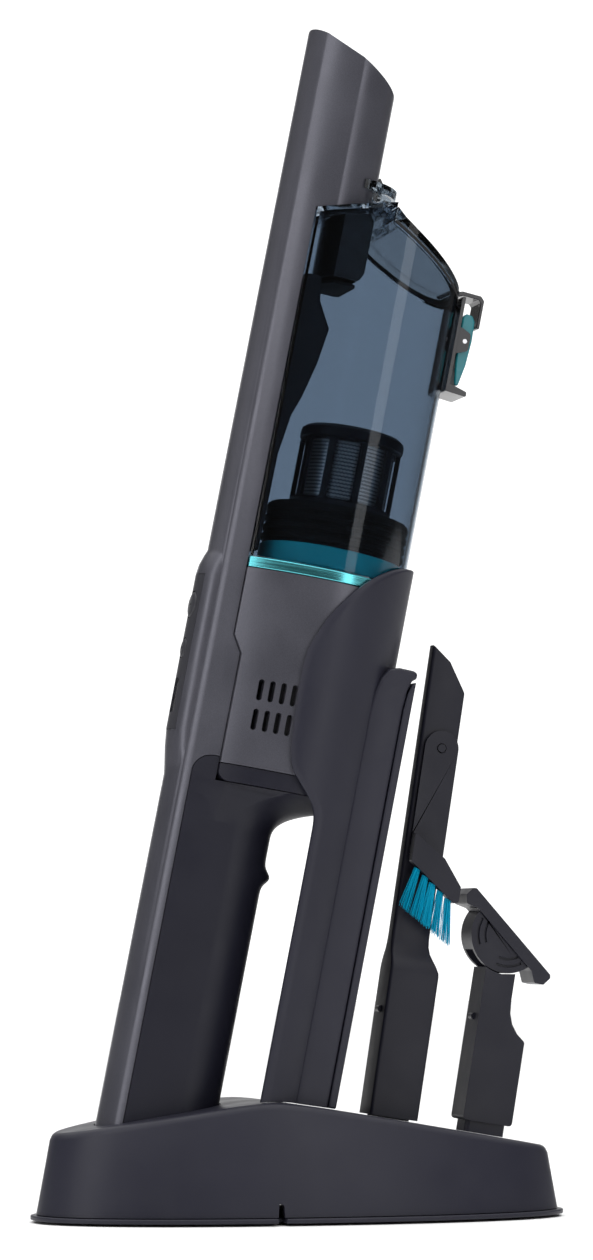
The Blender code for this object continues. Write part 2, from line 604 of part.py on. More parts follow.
def base_body(inset, floor, drop, edge=2.2):
    """Walls that lean in from the floor, a rounded edge, and the ridged roof across the top."""
    steps = 48
    rings = [[(x, y, floor) for x, y in oval(inset, steps)]]
    for t in (0.0, 0.4, 0.75, 1.0):
        level = []
        for x, y in oval(inset, steps):
            full = roof_z(x) - drop
            rise = full - edge * (1 - t) ** 1.6 - floor
            rounded = edge * (1 - math.sqrt(1 - t * t))
            px = x * (1 - (END_TAPER * rise + rounded) / (BASE_A - inset))
            py = y * (1 - (SIDE_TAPER * rise + rounded) / (BASE_B - inset))
            level.append((px, py, roof_z(px) - drop - edge * (1 - t) ** 1.6))
        rings.append(level)
    bm = bmesh.new()
    rows = [[bm.verts.new(point) for point in level] for level in rings]
    for lower, upper in zip(rows, rows[1:]):
        for i in range(steps):
            j = (i + 1) % steps
            bm.faces.new((lower[i], lower[j], upper[j], upper[i]))
    bm.faces.new(rows[0])
    top = rows[-1]
    for i in range(steps // 2 - 1):
        bm.faces.new((top[i], top[i + 1], top[steps - 2 - i], top[steps - 1 - i]))
    return bm


def stand_on_roof(*pieces):
    """Trim pieces that stand on the base so that each foot follows its ridged roof."""
    line = [(x, roof_z(x) + GAP) for x in (110, 60, 10, -8, -15, -19, -23, -30, -70, -110)]
    for piece in pieces:
        cut(piece, tool(extrude(line + [(-110, -60), (110, -60)], -60, 60, "y"), STAND))


def handle_outline(grow):
    """The handle's foot, grown all round, for its socket."""
    side = 13.3 + grow
    outline = arc((GRIP_D, 0), GRIP_R + grow, -90, 90, 14) + [(SPINE_STRIP_D, side)]
    outline += arc((TUBE_D, 0), TUBE_R + grow, 180 - CREASE_ANGLE, 180 + CREASE_ANGLE, 8)
    return outline + [(SPINE_STRIP_D, -side)]


def make_base():
    shell = put("base_shell", base_body(FLANGE, 3.1, 0), STAND, CHARCOAL)
    cut(shell, tool(base_body(FLANGE + BASE_WALL, 1.0, BASE_WALL, 1.0), STAND))
    block = tool(extrude(handle_outline(2.6), 16.8, 90), VACUUM)
    common(block, tool(base_body(FLANGE + 0.6, 3.1, 0.6, 1.6), STAND))
    join(shell, block)
    cut(shell, tool(extrude(handle_outline(0.6), H_FOOT - 0.5, 120), VACUUM))
    pins = [tool(cylinder(1.7, 5, 30, (d, 0), sides=16), VACUUM) for d in (20, 32)]
    cut(shell, *pins)
    cut(shell, tool(box((-19.2, -60, 0), (-16.6, -30, 8.5)), STAND))
    cut(shell, tool(cylinder(3.4, 30, 60, (24, 14), "y", 24), STAND))

    plate = put("base_plate", extrude(oval(0), 1.0, 2.8), STAND, CHARCOAL)
    round_edges(plate, 0.5, 35, 1)
    cut(plate, tool(box((-19.2, -60, 0), (-16.6, -36, 8.5)), STAND))
    screws = [(-14, 0), (86, 0)]
    cut(plate, *[tool(cylinder(2.4, 0, 5, spot, sides=16), STAND) for spot in screws])
    for index, spot in enumerate(screws):
        put(f"base_screw_{index + 1}", cylinder(1.9, 1.3, 9, spot, sides=16), STAND, STEEL)
        boss = ring("cutter", 4.2, 2.3, 3.4, roof_z(spot[0]) - 1.0, STAND, None, spot, 24)
        join(shell, boss)
    for index, (x, y) in enumerate(((-80, -16), (-80, 16), (82, -16), (82, 16))):
        put(f"rubber_foot_{index + 1}", cylinder(6.0, 0, 0.7, (x, y), sides=20), STAND, RUBBER)


def make_charging():
    block = put("contact_block", box((13, -9, 10.6), (39, 9, 16.4)), VACUUM, BLACK)
    cut(block, *[tool(cylinder(1.5, 5, 20, (d, 0), sides=16), VACUUM) for d in (20, 32)])
    for index, d in enumerate((20, 32)):
        put(f"charge_pin_{index + 1}", cylinder(1.2, 11.4, 19.8, (d, 0), sides=16), VACUUM, BRASS)
    jack = put("dc_jack", cylinder(3.1, 26, 37.8, (24, 14), "y", 24), STAND, BLACK)
    cut(jack, tool(cylinder(2.1, 28, 60, (24, 14), "y", 24), STAND))


# ------------------------------------------------------------------ stand: cradle arm

def make_arm():
    """The half-pipe that hugs the motor, with a hollow rib behind it and a cover on the rib."""
    columns = 22
    bm = bmesh.new()
    rows = []
    for h, front_reach, back_reach in WING:
        row = []
        for i in range(columns + 1):
            angle = math.radians(-front_reach + (front_reach + back_reach) * i / columns)
            row.append(bm.verts.new((DRUM_D + ARM_IN * math.cos(angle), ARM_IN * math.sin(angle), h)))
        rows.append(row)
    for lower, upper in zip(rows, rows[1:]):
        for i in range(columns):
            bm.faces.new((lower[i], lower[i + 1], upper[i + 1], upper[i]))
    arm = put("cradle_arm", bm, VACUUM, CHARCOAL)
    outward = arm.data.polygons[0].normal.x * arm.data.polygons[0].center.x
    solid = arm.modifiers.new("thickness", "SOLIDIFY")
    solid.thickness = (ARM_OUT - ARM_IN) * MM
    solid.offset = 1.0 if outward > 0 else -1.0
    solid.use_even_offset = True

    side = [(68.0, H_ARM_FOOT), (81.1, H_ARM_FOOT), (81.1, 213), (81.6, 220), (82.8, 224.6), (84.4, 225.6),
            (84.4, RIB_TOP - 1.5), (83.0, RIB_TOP), (77.0, RIB_TOP), (73.2, 227.4), (70.4, 223.0), (68.6, 216),
            (68.0, 208)]
    rib = tool(extrude(side, -RIB_Y, RIB_Y, "y"), VACUUM)
    round_edges(rib, 1.2, 50, 2)
    cut(rib, tool(cylinder((ARM_IN + ARM_OUT) / 2, 40, 300, (DRUM_D, 0), sides=ROUND), VACUUM),
        tool(box((60, 16, 40), (71.4, 40, 188)), VACUUM))
    join(arm, rib)
    room = tool(box((70, -RIB_Y + 2.4, 50), (90, RIB_Y - 2.4, 214)), VACUUM)
    cut(room, tool(cylinder(ARM_OUT - 0.2, 40, 300, (DRUM_D, 0), sides=ROUND), VACUUM))
    cut(arm, room)

    cover_side = [(81.4, H_ARM_FOOT), (84.4, H_ARM_FOOT), (84.4, 224.4), (83.2, 223.7), (82.0, 219.6),
                  (81.4, 213)]
    cover = put("arm_rear_cover", extrude(cover_side, -RIB_Y, RIB_Y, "y"), VACUUM, CHARCOAL)
    round_edges(cover, 1.0, 50, 2)
    stand_on_roof(arm, cover)


# ------------------------------------------------------------------ stand: nozzle posts

def make_posts():
    for name, frame, half_d, half_y, low, high in (
            ("crevice_post", CREVICE, 7.2, 5.6, 26.0, 62.0), ("upholstery_post", NOZZLE, 8.0, 6.4, 22.0, 62.0)):
        outline = rounded_rectangle(-half_d, half_d, -half_y, half_y, 1.6)
        post = put(name, extrude(outline, low, high), frame, CHARCOAL)
        round_edges(post, 0.8, 50)
        stand_on_roof(post)


# ------------------------------------------------------------------ crevice nozzle

def tool_rings(stations, radius):
    return [[(u, v, h) for u, v in rounded_rectangle(d0, d1, -y, y, min(radius, y * 0.9))]
            for h, d0, d1, y in stations]


def make_crevice_tool():
    outer = ((38.6, -9.6, 9.8, 8.0), (94.5, -9.8, 9.8, 8.0), (98.0, -9.8, 8.4, 7.4), (102.0, -9.9, 6.2, 4.6),
             (105.0, -9.9, 5.4, 3.7), (142.0, -10.1, 5.0, 3.3), (226.0, -10.4, 5.0, 3.0))
    inner = ((30.0, -8.0, 8.2, 6.4), (93.0, -8.2, 8.2, 6.4), (104.0, -8.6, 4.0, 2.3),
             (142.0, -8.8, 3.6, 1.9), (230.0, -9.2, 3.8, 1.7))
    nozzle = put("crevice_nozzle", loft(tool_rings(outer, 1.2)), CREVICE, BLACK)
    cut(nozzle, tool(loft(tool_rings(inner, 1.0)), CREVICE))
    tip = [(-14, 223.6), (-10.4, 221.0), (-2.8, 215.5), (4.9, 204.2), (8.0, 199.6), (20, 199), (20, 240),
           (-14, 240)]
    cut(nozzle, tool(extrude(tip, -20, 20, "y"), CREVICE))
    cut(nozzle, tool(cylinder(1.9, -20, 20, PIVOT, "y", 16), CREVICE))

    left, right = -8.6, 5.0
    plate = [(left, 146.5), (right, 138.6)] + arc(PIVOT, (right - left) / 2, 0, 180, 12)
    arm = put("brush_arm", extrude(plate, -5.3, -3.9, "y"), CREVICE, BLACK)
    neck = [(left, 147.4), (left, 139.5), (right, 134.5), (right, 139.4)]
    holder = [(left - 0.6, 147.4), (left - 0.6, 136.4), (9.9, 122.8), (11.9, 123.6), (12.0, 129.4),
              (right - 0.8, 139.0)]
    join(arm, tool(extrude(neck, -9.0, -4.1, "y"), CREVICE), tool(extrude(holder, -12.0, -8.3, "y"), CREVICE))
    cut(arm, tool(cylinder(1.9, -20, 20, PIVOT, "y", 16), CREVICE))
    put("brush_pivot", cylinder(1.6, -5.6, 3.2, PIVOT, "y", 16), CREVICE, STEEL)

    tufts = 5
    start, end = (-8.3, 135.4), (9.9, 122.2)
    tips = ((-11.2, 119.2), (11.4, 106.4))
    outline = [start]
    for index in range(2 * tufts + 1):
        t = index / (2 * tufts)
        d = tips[0][0] + (tips[1][0] - tips[0][0]) * t
        h = tips[0][1] + (tips[1][1] - tips[0][1]) * t
        outline.append((d, h + (0.0 if index % 2 else 2.4)))
    outline.append(end)
    put("brush_bristles", extrude(outline, -11.4, -8.8, "y"), CREVICE, BRISTLE)


PIVOT = (-1.8, 181.6)


# ------------------------------------------------------------------ upholstery nozzle

SWIVEL = (-2.8, 108.8)
SEAT_R = 15.3
BAR_TILT = -39.0


def tilted(points):
    """Points drawn along the head's bar, u along it and v out of its mouth, about the swivel."""
    c, s = math.cos(math.radians(BAR_TILT)), math.sin(math.radians(BAR_TILT))
    return [(SWIVEL[0] + u * c - v * s, SWIVEL[1] + u * s + v * c) for u, v in points]


def make_upholstery_tool():
    side = [(-9.9, 36.2), (10.0, 36.2), (10.0, 69.0), (6.6, 71.6), (4.0, 75.0), (2.6, 79.0), (2.2, 84.0),
            (2.2, 100), (-9.9, 100)]
    neck = put("upholstery_neck", extrude(side, -7.9, 7.9, "y"), NOZZLE, BLACK)
    round_edges(neck, 1.0, 50)
    cut(neck, tool(cylinder(SEAT_R, -20, 20, SWIVEL, "y", 48), NOZZLE))
    cut(neck, tool(extrude(rounded_rectangle(-8.4, 8.5, -6.8, 6.8, 1.0), 30, 66), NOZZLE))
    cut(neck, tool(extrude(rounded_rectangle(-8.2, 0.6, -6.2, 6.2, 1.0), 60, 110), NOZZLE))

    bar = tilted([(-23.0, -2.4), (-23.0, 1.4), (-22.0, 2.3), (22.6, 2.3), (23.6, 1.4), (23.6, -2.4),
                  (20.6, -4.6), (16.4, -2.4), (-16.0, -2.4), (-20.2, -4.6)])
    head = put("upholstery_head", extrude(bar, -7.9, 7.9, "y"), NOZZLE, BLACK)
    disc = tilted(arc((0, 0), 14.8, 180, 360, 24) + [(14.8, 1.0), (-14.8, 1.0)])
    join(head, tool(extrude(disc, -6.8, 6.8, "y"), NOZZLE))
    mouth = tilted([(-20.5, -1.0), (21.0, -1.0), (21.0, 5.0), (-20.5, 5.0)])
    cut(head, tool(extrude(mouth, -6.2, 6.2, "y"), NOZZLE))
    room = tilted([(-9.0, -9.5), (9.0, -9.5), (9.0, 2.0), (-9.0, 2.0)])
    cut(head, tool(extrude(room, -5.2, 5.2, "y"), NOZZLE))
    outlet = tilted([(-5.0, -20.0), (5.0, -20.0), (5.0, -5.0), (-5.0, -5.0)])
    cut(head, tool(extrude(outlet, -4.6, 4.6, "y"), NOZZLE))
    for radius, first, last in ((12.2, 200, 250), (12.2, 292, 340)):
        band = tilted(arc((0, 0), radius, first, last, 6) + arc((0, 0), radius - 1.1, last, first, 6))
        cut(head, tool(extrude(band, -20, 20, "y"), NOZZLE))


make_spine()
make_control_pod()
make_grip()
make_handle_parts()
make_motor_housing()
make_motor()
make_filter()
make_cup()
make_lid()
make_release_tab()
make_latch()
make_base()
make_charging()
make_arm()
make_posts()
make_crevice_tool()
make_upholstery_tool()
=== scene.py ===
"""Looks of the cordless handheld vacuum on its charging stand: camera, lights, materials and fine shells.

Shapes are drawn in millimetres in the frame of the piece they belong to.  A leaning frame has its origin
on the floor and its Z up the leaning axis, and a point in it is (d, y, h): d across, y back, h up the axis.
"""
import math
import random

import bmesh
import bpy
from mathutils import Matrix, Vector


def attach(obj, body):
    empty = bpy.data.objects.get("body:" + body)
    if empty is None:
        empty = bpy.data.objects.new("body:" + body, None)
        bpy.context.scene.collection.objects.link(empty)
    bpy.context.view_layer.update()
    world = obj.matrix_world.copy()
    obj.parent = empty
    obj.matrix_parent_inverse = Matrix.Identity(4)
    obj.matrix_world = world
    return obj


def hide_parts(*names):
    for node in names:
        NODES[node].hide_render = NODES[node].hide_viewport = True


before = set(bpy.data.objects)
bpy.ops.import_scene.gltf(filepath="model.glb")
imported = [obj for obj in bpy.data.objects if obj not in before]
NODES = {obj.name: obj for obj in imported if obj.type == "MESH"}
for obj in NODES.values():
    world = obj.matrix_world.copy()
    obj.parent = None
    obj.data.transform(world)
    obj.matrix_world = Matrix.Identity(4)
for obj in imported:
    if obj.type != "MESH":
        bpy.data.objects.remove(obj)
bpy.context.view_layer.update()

MM = 0.001


def leaning(x, degrees):
    return Matrix.Translation((x * MM, 0, 0)) @ Matrix.Rotation(math.radians(degrees), 4, "Y")


STAND = Matrix()
VACUUM = leaning(-87.3, 11.2)
CREVICE = leaning(29.0, 8.9)
NOZZLE = leaning(66.4, 9.4)

# Vacuum
TUBE_D, TUBE_R = 19.4, 18.8
CREASE_ANGLE = 41.0
DRUM_D, DRUM_R = 48.2, 30.1
STRIP_D = 7.4
H_CAP_TOP, H_GRIP_TOP = 24.0, 172.6
H_MOUTH_BACK, MOUTH_SLOPE = 468.3, 0.524
GRIP_D, GRIP_R = 28.9, 16.5
HINGE_D, HINGE_H = 41.0, 404.6
H_ROOF_LOW, ROOF_SLOPE = 398.0, 0.235
H_RIM_AT_HINGE, RIM_SLOPE = 395.4, -0.575
# The drum's cheeks: shallow arcs that leave its circle and run back to the spine's seam
CHEEK_R, CHEEK_ANGLE = 76.0, 100.0
SEAM_D, SEAM_D_LOW = 13.0, 16.6
H_SEAM_STEP = (221.6, 230.2)
# Stand
BASE_A, BASE_B, BASE_POWER = 104.0, 43.5, 2.2
RIDGE_X, RIDGE_Z, ROOF_FALL = -19.0, 45.2, 0.172
ARM_IN, ARM_OUT = 30.9, 32.9


# ------------------------------------------------------------------ camera, floor and light

def add_camera():
    camera = bpy.data.cameras.new("camera")
    camera.sensor_fit = "VERTICAL"
    camera.sensor_height = 36.0
    camera.lens = 120.0
    obj = bpy.data.objects.new("camera", camera)
    obj.location = (-0.4186, -1.557, 0.1039)
    turn, pitch = math.radians(15.0), math.radians(4.29)
    forward = Vector((math.sin(turn) * math.cos(pitch), math.cos(turn) * math.cos(pitch), math.sin(pitch)))
    obj.rotation_euler = forward.to_track_quat("-Z", "Y").to_euler()
    bpy.context.scene.collection.objects.link(obj)
    bpy.context.scene.camera = obj


def add_area(name, location, target, size, energy, colour=(1, 1, 1)):
    light = bpy.data.lights.new(name, "AREA")
    light.shape = "RECTANGLE"
    light.size, light.size_y = size
    light.energy = energy
    light.color = colour
    obj = bpy.data.objects.new(name, light)
    obj.location = location
    obj.rotation_euler = (Vector(target) - Vector(location)).to_track_quat("-Z", "Y").to_euler()
    bpy.context.scene.collection.objects.link(obj)


def add_studio():
    add_area("left_softbox", (-1.32, -0.70, 0.45), (0, 0, 0.25), (0.5, 2.0), 9)
    add_area("right_softbox", (0.50, -1.42, 0.45), (0, 0, 0.25), (0.4, 2.0), 6)
    add_area("top_softbox", (0.0, -0.2, 1.7), (0, 0, 0.1), (1.4, 1.2), 8)
    world = bpy.data.worlds.new("studio")
    world.use_nodes = True
    tree = world.node_tree
    background = tree.nodes["Background"]
    direction = tree.nodes.new("ShaderNodeTexCoord").outputs["Generated"]

    def glow(axis, start, end, low, high):
        """Brightness that rises from low to high as a direction turns toward an axis."""
        toward = tree.nodes.new("ShaderNodeVectorMath")
        toward.operation = "DOT_PRODUCT"
        toward.inputs[1].default_value = axis
        tree.links.new(direction, toward.inputs[0])
        ramp = tree.nodes.new("ShaderNodeMapRange")
        ramp.interpolation_type = "SMOOTHSTEP"
        tree.links.new(toward.outputs["Value"], ramp.inputs["Value"])
        for key, value in (("From Min", start), ("From Max", end), ("To Min", low), ("To Max", high)):
            ramp.inputs[key].default_value = value
        return ramp.outputs[0]

    # a dim room with a white backdrop behind the object and a bright ceiling
    total = tree.nodes.new("ShaderNodeMath")
    tree.links.new(glow((0.259, 0.966, 0.0), 0.88, 0.965, 0.1, 1.25), total.inputs[0])
    tree.links.new(glow((0.0, 0.0, 1.0), 0.35, 0.8, 0.0, 1.5), total.inputs[1])
    tree.links.new(total.outputs[0], background.inputs["Strength"])
    background.inputs["Color"].default_value = (1.0, 1.0, 1.0, 1)
    bpy.context.scene.world = world
    bpy.context.scene.view_settings.view_transform = "Standard"

    bm = bmesh.new()
    bmesh.ops.create_grid(bm, x_segments=1, y_segments=1, size=6.0)
    mesh = bpy.data.meshes.new("floor")
    bm.to_mesh(mesh)
    floor = bpy.data.objects.new("floor", mesh)
    material = bpy.data.materials.new("pale_floor")
    material.use_nodes = True
    shader = material.node_tree.nodes["Principled BSDF"]
    shader.inputs["Base Color"].default_value = (0.95, 0.95, 0.95, 1)
    shader.inputs["Roughness"].default_value = 0.9
    mesh.materials.append(material)
    bpy.context.scene.collection.objects.link(floor)


# ------------------------------------------------------------------ materials

class Nodes:
    """Shorthand for building a material's node tree."""

    def __init__(self, name, **inputs):
        self.material = bpy.data.materials.new(name)
        self.material.use_nodes = True
        self.tree = self.material.node_tree
        self.shader = self.tree.nodes["Principled BSDF"]
        for key, value in inputs.items():
            socket = self.shader.inputs[key.replace("_", " ")]
            socket.default_value = (*value, 1.0) if isinstance(value, tuple) else value
        self.coordinates = self.tree.nodes.new("ShaderNodeTexCoord").outputs["Object"]

    def add(self, kind, inputs, **settings):
        node = self.tree.nodes.new(kind)
        for key, value in settings.items():
            setattr(node, key, value)
        for key, value in inputs.items():
            if isinstance(value, bpy.types.NodeSocket):
                self.tree.links.new(value, node.inputs[key])
            else:
                node.inputs[key].default_value = value
        return node

    def noise(self, scale, detail=2.0, vector=None):
        source = vector or self.coordinates
        return self.add("ShaderNodeTexNoise", {"Vector": source, "Scale": scale, "Detail": detail}).outputs[0]

    def stretched(self, scale, lean):
        """Coordinates in a leaning frame, scaled differently along and across it."""
        values = {"Vector": self.coordinates, "Rotation": (0.0, math.radians(lean), 0.0),
                  "Scale": tuple(1.0 / amount for amount in scale)}
        return self.add("ShaderNodeMapping", values, vector_type="TEXTURE").outputs[0]

    def spread(self, value, low, high):
        limits = {"Value": value, "From Min": 0.3, "From Max": 0.7, "To Min": low, "To Max": high}
        return self.add("ShaderNodeMapRange", limits).outputs[0]

    def blend(self, factor, first, second):
        node = self.tree.nodes.new("ShaderNodeMix")
        node.data_type = "RGBA"
        self.tree.links.new(factor, node.inputs[0])
        node.inputs[6].default_value = (*first, 1.0)
        node.inputs[7].default_value = (*second, 1.0)
        return node.outputs[2]

    def drive(self, socket, value):
        self.tree.links.new(value, self.shader.inputs[socket])

    def bump(self, height, strength, distance):
        node = self.add("ShaderNodeBump", {"Height": height, "Strength": strength, "Distance": distance})
        self.drive("Normal", node.outputs[0])


def shaded(colour, factor):
    return tuple(min(1.0, channel * factor) for channel in colour)


def moulded(name, colour, roughness, grain=2600.0, depth=0.25, coat=0.0):
    """Moulded plastic: fine spark-eroded grain, faint clouds in the colour, uneven gloss from handling."""
    n = Nodes(name, Metallic=0.0, Coat_Weight=coat, Coat_Roughness=0.2, Specular_IOR_Level=0.25)
    cloud = n.noise(22.0, 3.0)
    n.drive("Base Color", n.blend(n.spread(cloud, 0.0, 1.0), shaded(colour, 0.93), shaded(colour, 1.07)))
    smudge = n.noise(70.0, 4.0)
    n.drive("Roughness", n.spread(smudge, roughness - 0.06, roughness + 0.06))
    n.bump(n.noise(grain, 3.0), depth, 0.00004)
    return n.material


def metallic_paint(name, colour, roughness):
    """Gun-metal plastic with fine mica flakes under a satin surface."""
    n = Nodes(name, Metallic=0.55, Coat_Weight=0.12, Coat_Roughness=0.3)
    flakes = n.noise(5200.0, 1.0)
    n.drive("Base Color", n.blend(n.spread(flakes, 0.0, 1.0), shaded(colour, 0.8), shaded(colour, 1.25)))
    n.drive("Roughness", n.spread(n.noise(60.0, 4.0), roughness - 0.05, roughness + 0.05))
    n.bump(n.noise(3600.0, 2.0), 0.2, 0.00003)
    return n.material


def brushed(name, colour, roughness, scale=(30.0, 30.0, 4200.0), metallic=1.0):
    """Metal brushed round the leaning axis: streaks that are thin along Z and long across it."""
    n = Nodes(name, Metallic=metallic)
    streaks = n.noise(1.0, 4.0, n.stretched(scale, 11.2))
    n.drive("Base Color", n.blend(n.spread(streaks, 0.0, 1.0), shaded(colour, 0.82), shaded(colour, 1.15)))
    n.drive("Roughness", n.spread(streaks, roughness - 0.08, roughness + 0.08))
    n.bump(streaks, 0.15, 0.00003)
    return n.material


def clear_plastic(name, colour, roughness=0.03, ior=1.3):
    """Tinted polycarbonate with faint haze and fine scuffs."""
    n = Nodes(name, Base_Color=colour, Transmission_Weight=1.0, IOR=ior)
    scuffs = n.noise(900.0, 5.0)
    n.drive("Roughness", n.spread(scuffs, roughness, roughness + 0.05))
    return n.material


def perforated(name, pitch=1.4, hole=0.42):
    """Steel sheet punched with staggered round holes; its UV map is in millimetres."""
    n = Nodes(name, Metallic=0.9, Roughness=0.35)
    uv = n.tree.nodes.new("ShaderNodeUVMap").outputs[0]
    parts = n.add("ShaderNodeSeparateXYZ", {0: uv}).outputs

    def math_node(operation, first, second=0.0):
        return n.add("ShaderNodeMath", {0: first, 1: second}, operation=operation).outputs[0]

    row = math_node("FLOOR", math_node("DIVIDE", parts[1], pitch))
    shift = math_node("MULTIPLY", math_node("MODULO", row, 2.0), pitch / 2)
    across = math_node("PINGPONG", math_node("ADD", parts[0], shift), pitch / 2)
    along = math_node("PINGPONG", parts[1], pitch / 2)
    distance = math_node("SQRT", math_node("ADD", math_node("POWER", across, 2.0),
                                           math_node("POWER", along, 2.0)))
    inside = math_node("LESS_THAN", distance, hole)
    n.drive("Base Color", n.blend(inside, (0.85, 0.85, 0.85), (0.02, 0.02, 0.025)))
    return n.material


GUNMETAL = metallic_paint("gunmetal_plastic", (0.078, 0.078, 0.096), 0.34)
CHARCOAL = moulded("charcoal_plastic", (0.018, 0.018, 0.028), 0.42)
BLACK = moulded("black_plastic", (0.01, 0.01, 0.017), 0.4)
GLOSS_BLACK = moulded("gloss_black_plastic", (0.012, 0.012, 0.015), 0.2, depth=0.05, coat=0.4)
GRIP = moulded("soft_grip", (0.009, 0.009, 0.016), 0.46, grain=1900.0, depth=0.35)
PANEL = moulded("panel_plastic", (0.03, 0.03, 0.036), 0.4)
RUBBER = moulded("rubber", (0.015, 0.015, 0.016), 0.7)
SMOKE = clear_plastic("smoke_polycarbonate", (0.28, 0.34, 0.41), 0.02)
SMOKE_DARK = clear_plastic("smoke_polycarbonate_lid", (0.22, 0.26, 0.3))
TEAL = moulded("teal_plastic", (0.01, 0.17, 0.2), 0.3, coat=0.4)
TEAL_METAL = brushed("teal_anodised", (0.13, 0.56, 0.62), 0.24)
TEAL_INNER = moulded("teal_filter_base", (0.05, 0.85, 0.95), 0.4)
STEEL = brushed("steel", (0.6, 0.6, 0.62), 0.3)
BRASS = brushed("brass", (0.75, 0.55, 0.22), 0.3)
MESH_STEEL = perforated("perforated_steel")
BRISTLE = moulded("blue_bristle", (0.0, 0.33, 0.52), 0.45, depth=0.05)
PAPER = moulded("filter_paper", (0.75, 0.75, 0.7), 0.9)
BOARD = moulded("circuit_board", (0.02, 0.2, 0.08), 0.4)
CELL = moulded("cell_sleeve", (0.1, 0.25, 0.5), 0.35)


# ------------------------------------------------------------------ mesh helpers, in millimetres

def on_plane(u, v, w, axis):
    return {"h": (u, v, w), "y": (u, w, v), "d": (w, u, v)}[axis]


def extrude(outline, start, end, axis="h"):
    bm = bmesh.new()
    face = bm.faces.new([bm.verts.new(on_plane(u, v, start, axis)) for u, v in outline])
    grown = bmesh.ops.extrude_face_region(bm, geom=[face])
    moved = [item for item in grown["geom"] if isinstance(item, bmesh.types.BMVert)]
    bmesh.ops.translate(bm, vec=Vector(on_plane(0, 0, end - start, axis)), verts=moved)
    return bm


def box(low, high):
    bm = bmesh.new()
    bmesh.ops.create_cube(bm, size=1.0)
    low, high = Vector(low), Vector(high)
    bmesh.ops.scale(bm, vec=high - low, verts=bm.verts)
    bmesh.ops.translate(bm, vec=(low + high) / 2, verts=bm.verts)
    return bm


def cylinder(radius, start, end, centre=(0.0, 0.0), axis="h", sides=96):
    turn = {"h": Matrix(), "y": Matrix.Rotation(math.radians(-90), 4, "X"),
            "d": Matrix.Rotation(math.radians(90), 4, "Y")}[axis]
    bm = bmesh.new()
    bmesh.ops.create_cone(bm, cap_ends=True, segments=sides, radius1=radius,
                          radius2=radius, depth=end - start, matrix=turn)
    bmesh.ops.translate(bm, vec=on_plane(*centre, (start + end) / 2, axis), verts=bm.verts)
    return bm


def loft(rings, closed=True):
    bm = bmesh.new()
    rows = [[bm.verts.new(point) for point in ring] for ring in rings]
    count = len(rows[0])
    for lower, upper in zip(rows, rows[1:]):
        for i in range(count):
            j = (i + 1) % count
            bm.faces.new((lower[i], lower[j], upper[j], upper[i]))
    if closed:
        bm.faces.new(rows[0])
        bm.faces.new(rows[-1])
    else:
        for i in range(count):
            j = (i + 1) % count
            bm.faces.new((rows[-1][i], rows[-1][j], rows[0][j], rows[0][i]))
    return bm


def lathe(profile, centre, sides=128):
    """A closed profile (r, h) turned about the local axis through centre; no point may lie on the axis."""
    rings = []
    for r, h in profile:
        rings.append([(centre[0] + r * math.cos(2 * math.pi * i / sides),
                       centre[1] + r * math.sin(2 * math.pi * i / sides), h) for i in range(sides)])
    return loft(rings, closed=False)


def arc(centre, radius, first, last, steps):
    angles = [math.radians(first + (last - first) * i / steps) for i in range(steps + 1)]
    return [(centre[0] + radius * math.cos(a), centre[1] + radius * math.sin(a)) for a in angles]


def rounded_rectangle(u0, u1, v0, v1, radius, steps=6):
    corners = ((u1 - radius, v1 - radius, 0), (u0 + radius, v1 - radius, 90),
               (u0 + radius, v0 + radius, 180), (u1 - radius, v0 + radius, 270))
    points = []
    for u, v, start in corners:
        points += arc((u, v), radius, start, start + 90, steps)
    return points


def slot(u, v0, v1, width, steps=8):
    half = width / 2
    return arc((u, v1 - half), half, 0, 180, steps) + arc((u, v0 + half), half, 180, 360, steps)


def fillet(points, radius, steps=6):
    """An outline with each corner rounded, by radius or by as much as its sides allow."""
    rounded = []
    for i, corner in enumerate(points):
        here = Vector(corner)
        back, ahead = Vector(points[i - 1]) - here, Vector(points[(i + 1) % len(points)]) - here
        turn = back.angle(ahead)
        want = radius / math.tan(turn / 2) if turn > 0.01 else 0.0
        reach = min(want, back.length * 0.45, ahead.length * 0.45)
        if turn > math.radians(172) or reach <= 0:
            rounded.append(corner)
            continue
        start, end = here + back.normalized() * reach, here + ahead.normalized() * reach
        for step in range(steps + 1):
            t = step / steps
            rounded.append(tuple(start * (1 - t) ** 2 + here * 2 * t * (1 - t) + end * t ** 2))
    return rounded


def shape(bm, place, name="tool"):
    """A mesh object in world metres from a shape in a frame's millimetres."""
    bmesh.ops.recalc_face_normals(bm, faces=bm.faces)
    bm.transform(place @ Matrix.Scale(MM, 4))
    mesh = bpy.data.meshes.new(name)
    bm.to_mesh(mesh)
    bm.free()
    obj = bpy.data.objects.new(name, mesh)
    bpy.context.scene.collection.objects.link(obj)
    return obj


def carve(obj, operation, *tools):
    """Apply Booleans with the tools, then remove them."""
    for other in tools:
        modifier = obj.modifiers.new("carve", "BOOLEAN")
        modifier.operation = operation
        modifier.solver = "EXACT"
        modifier.object = other
    bpy.context.view_layer.update()
    evaluated = obj.evaluated_get(bpy.context.evaluated_depsgraph_get())
    mesh = bpy.data.meshes.new_from_object(evaluated)
    obj.modifiers.clear()
    obj.data = mesh
    for other in tools:
        bpy.data.objects.remove(other, do_unlink=True)
    return obj


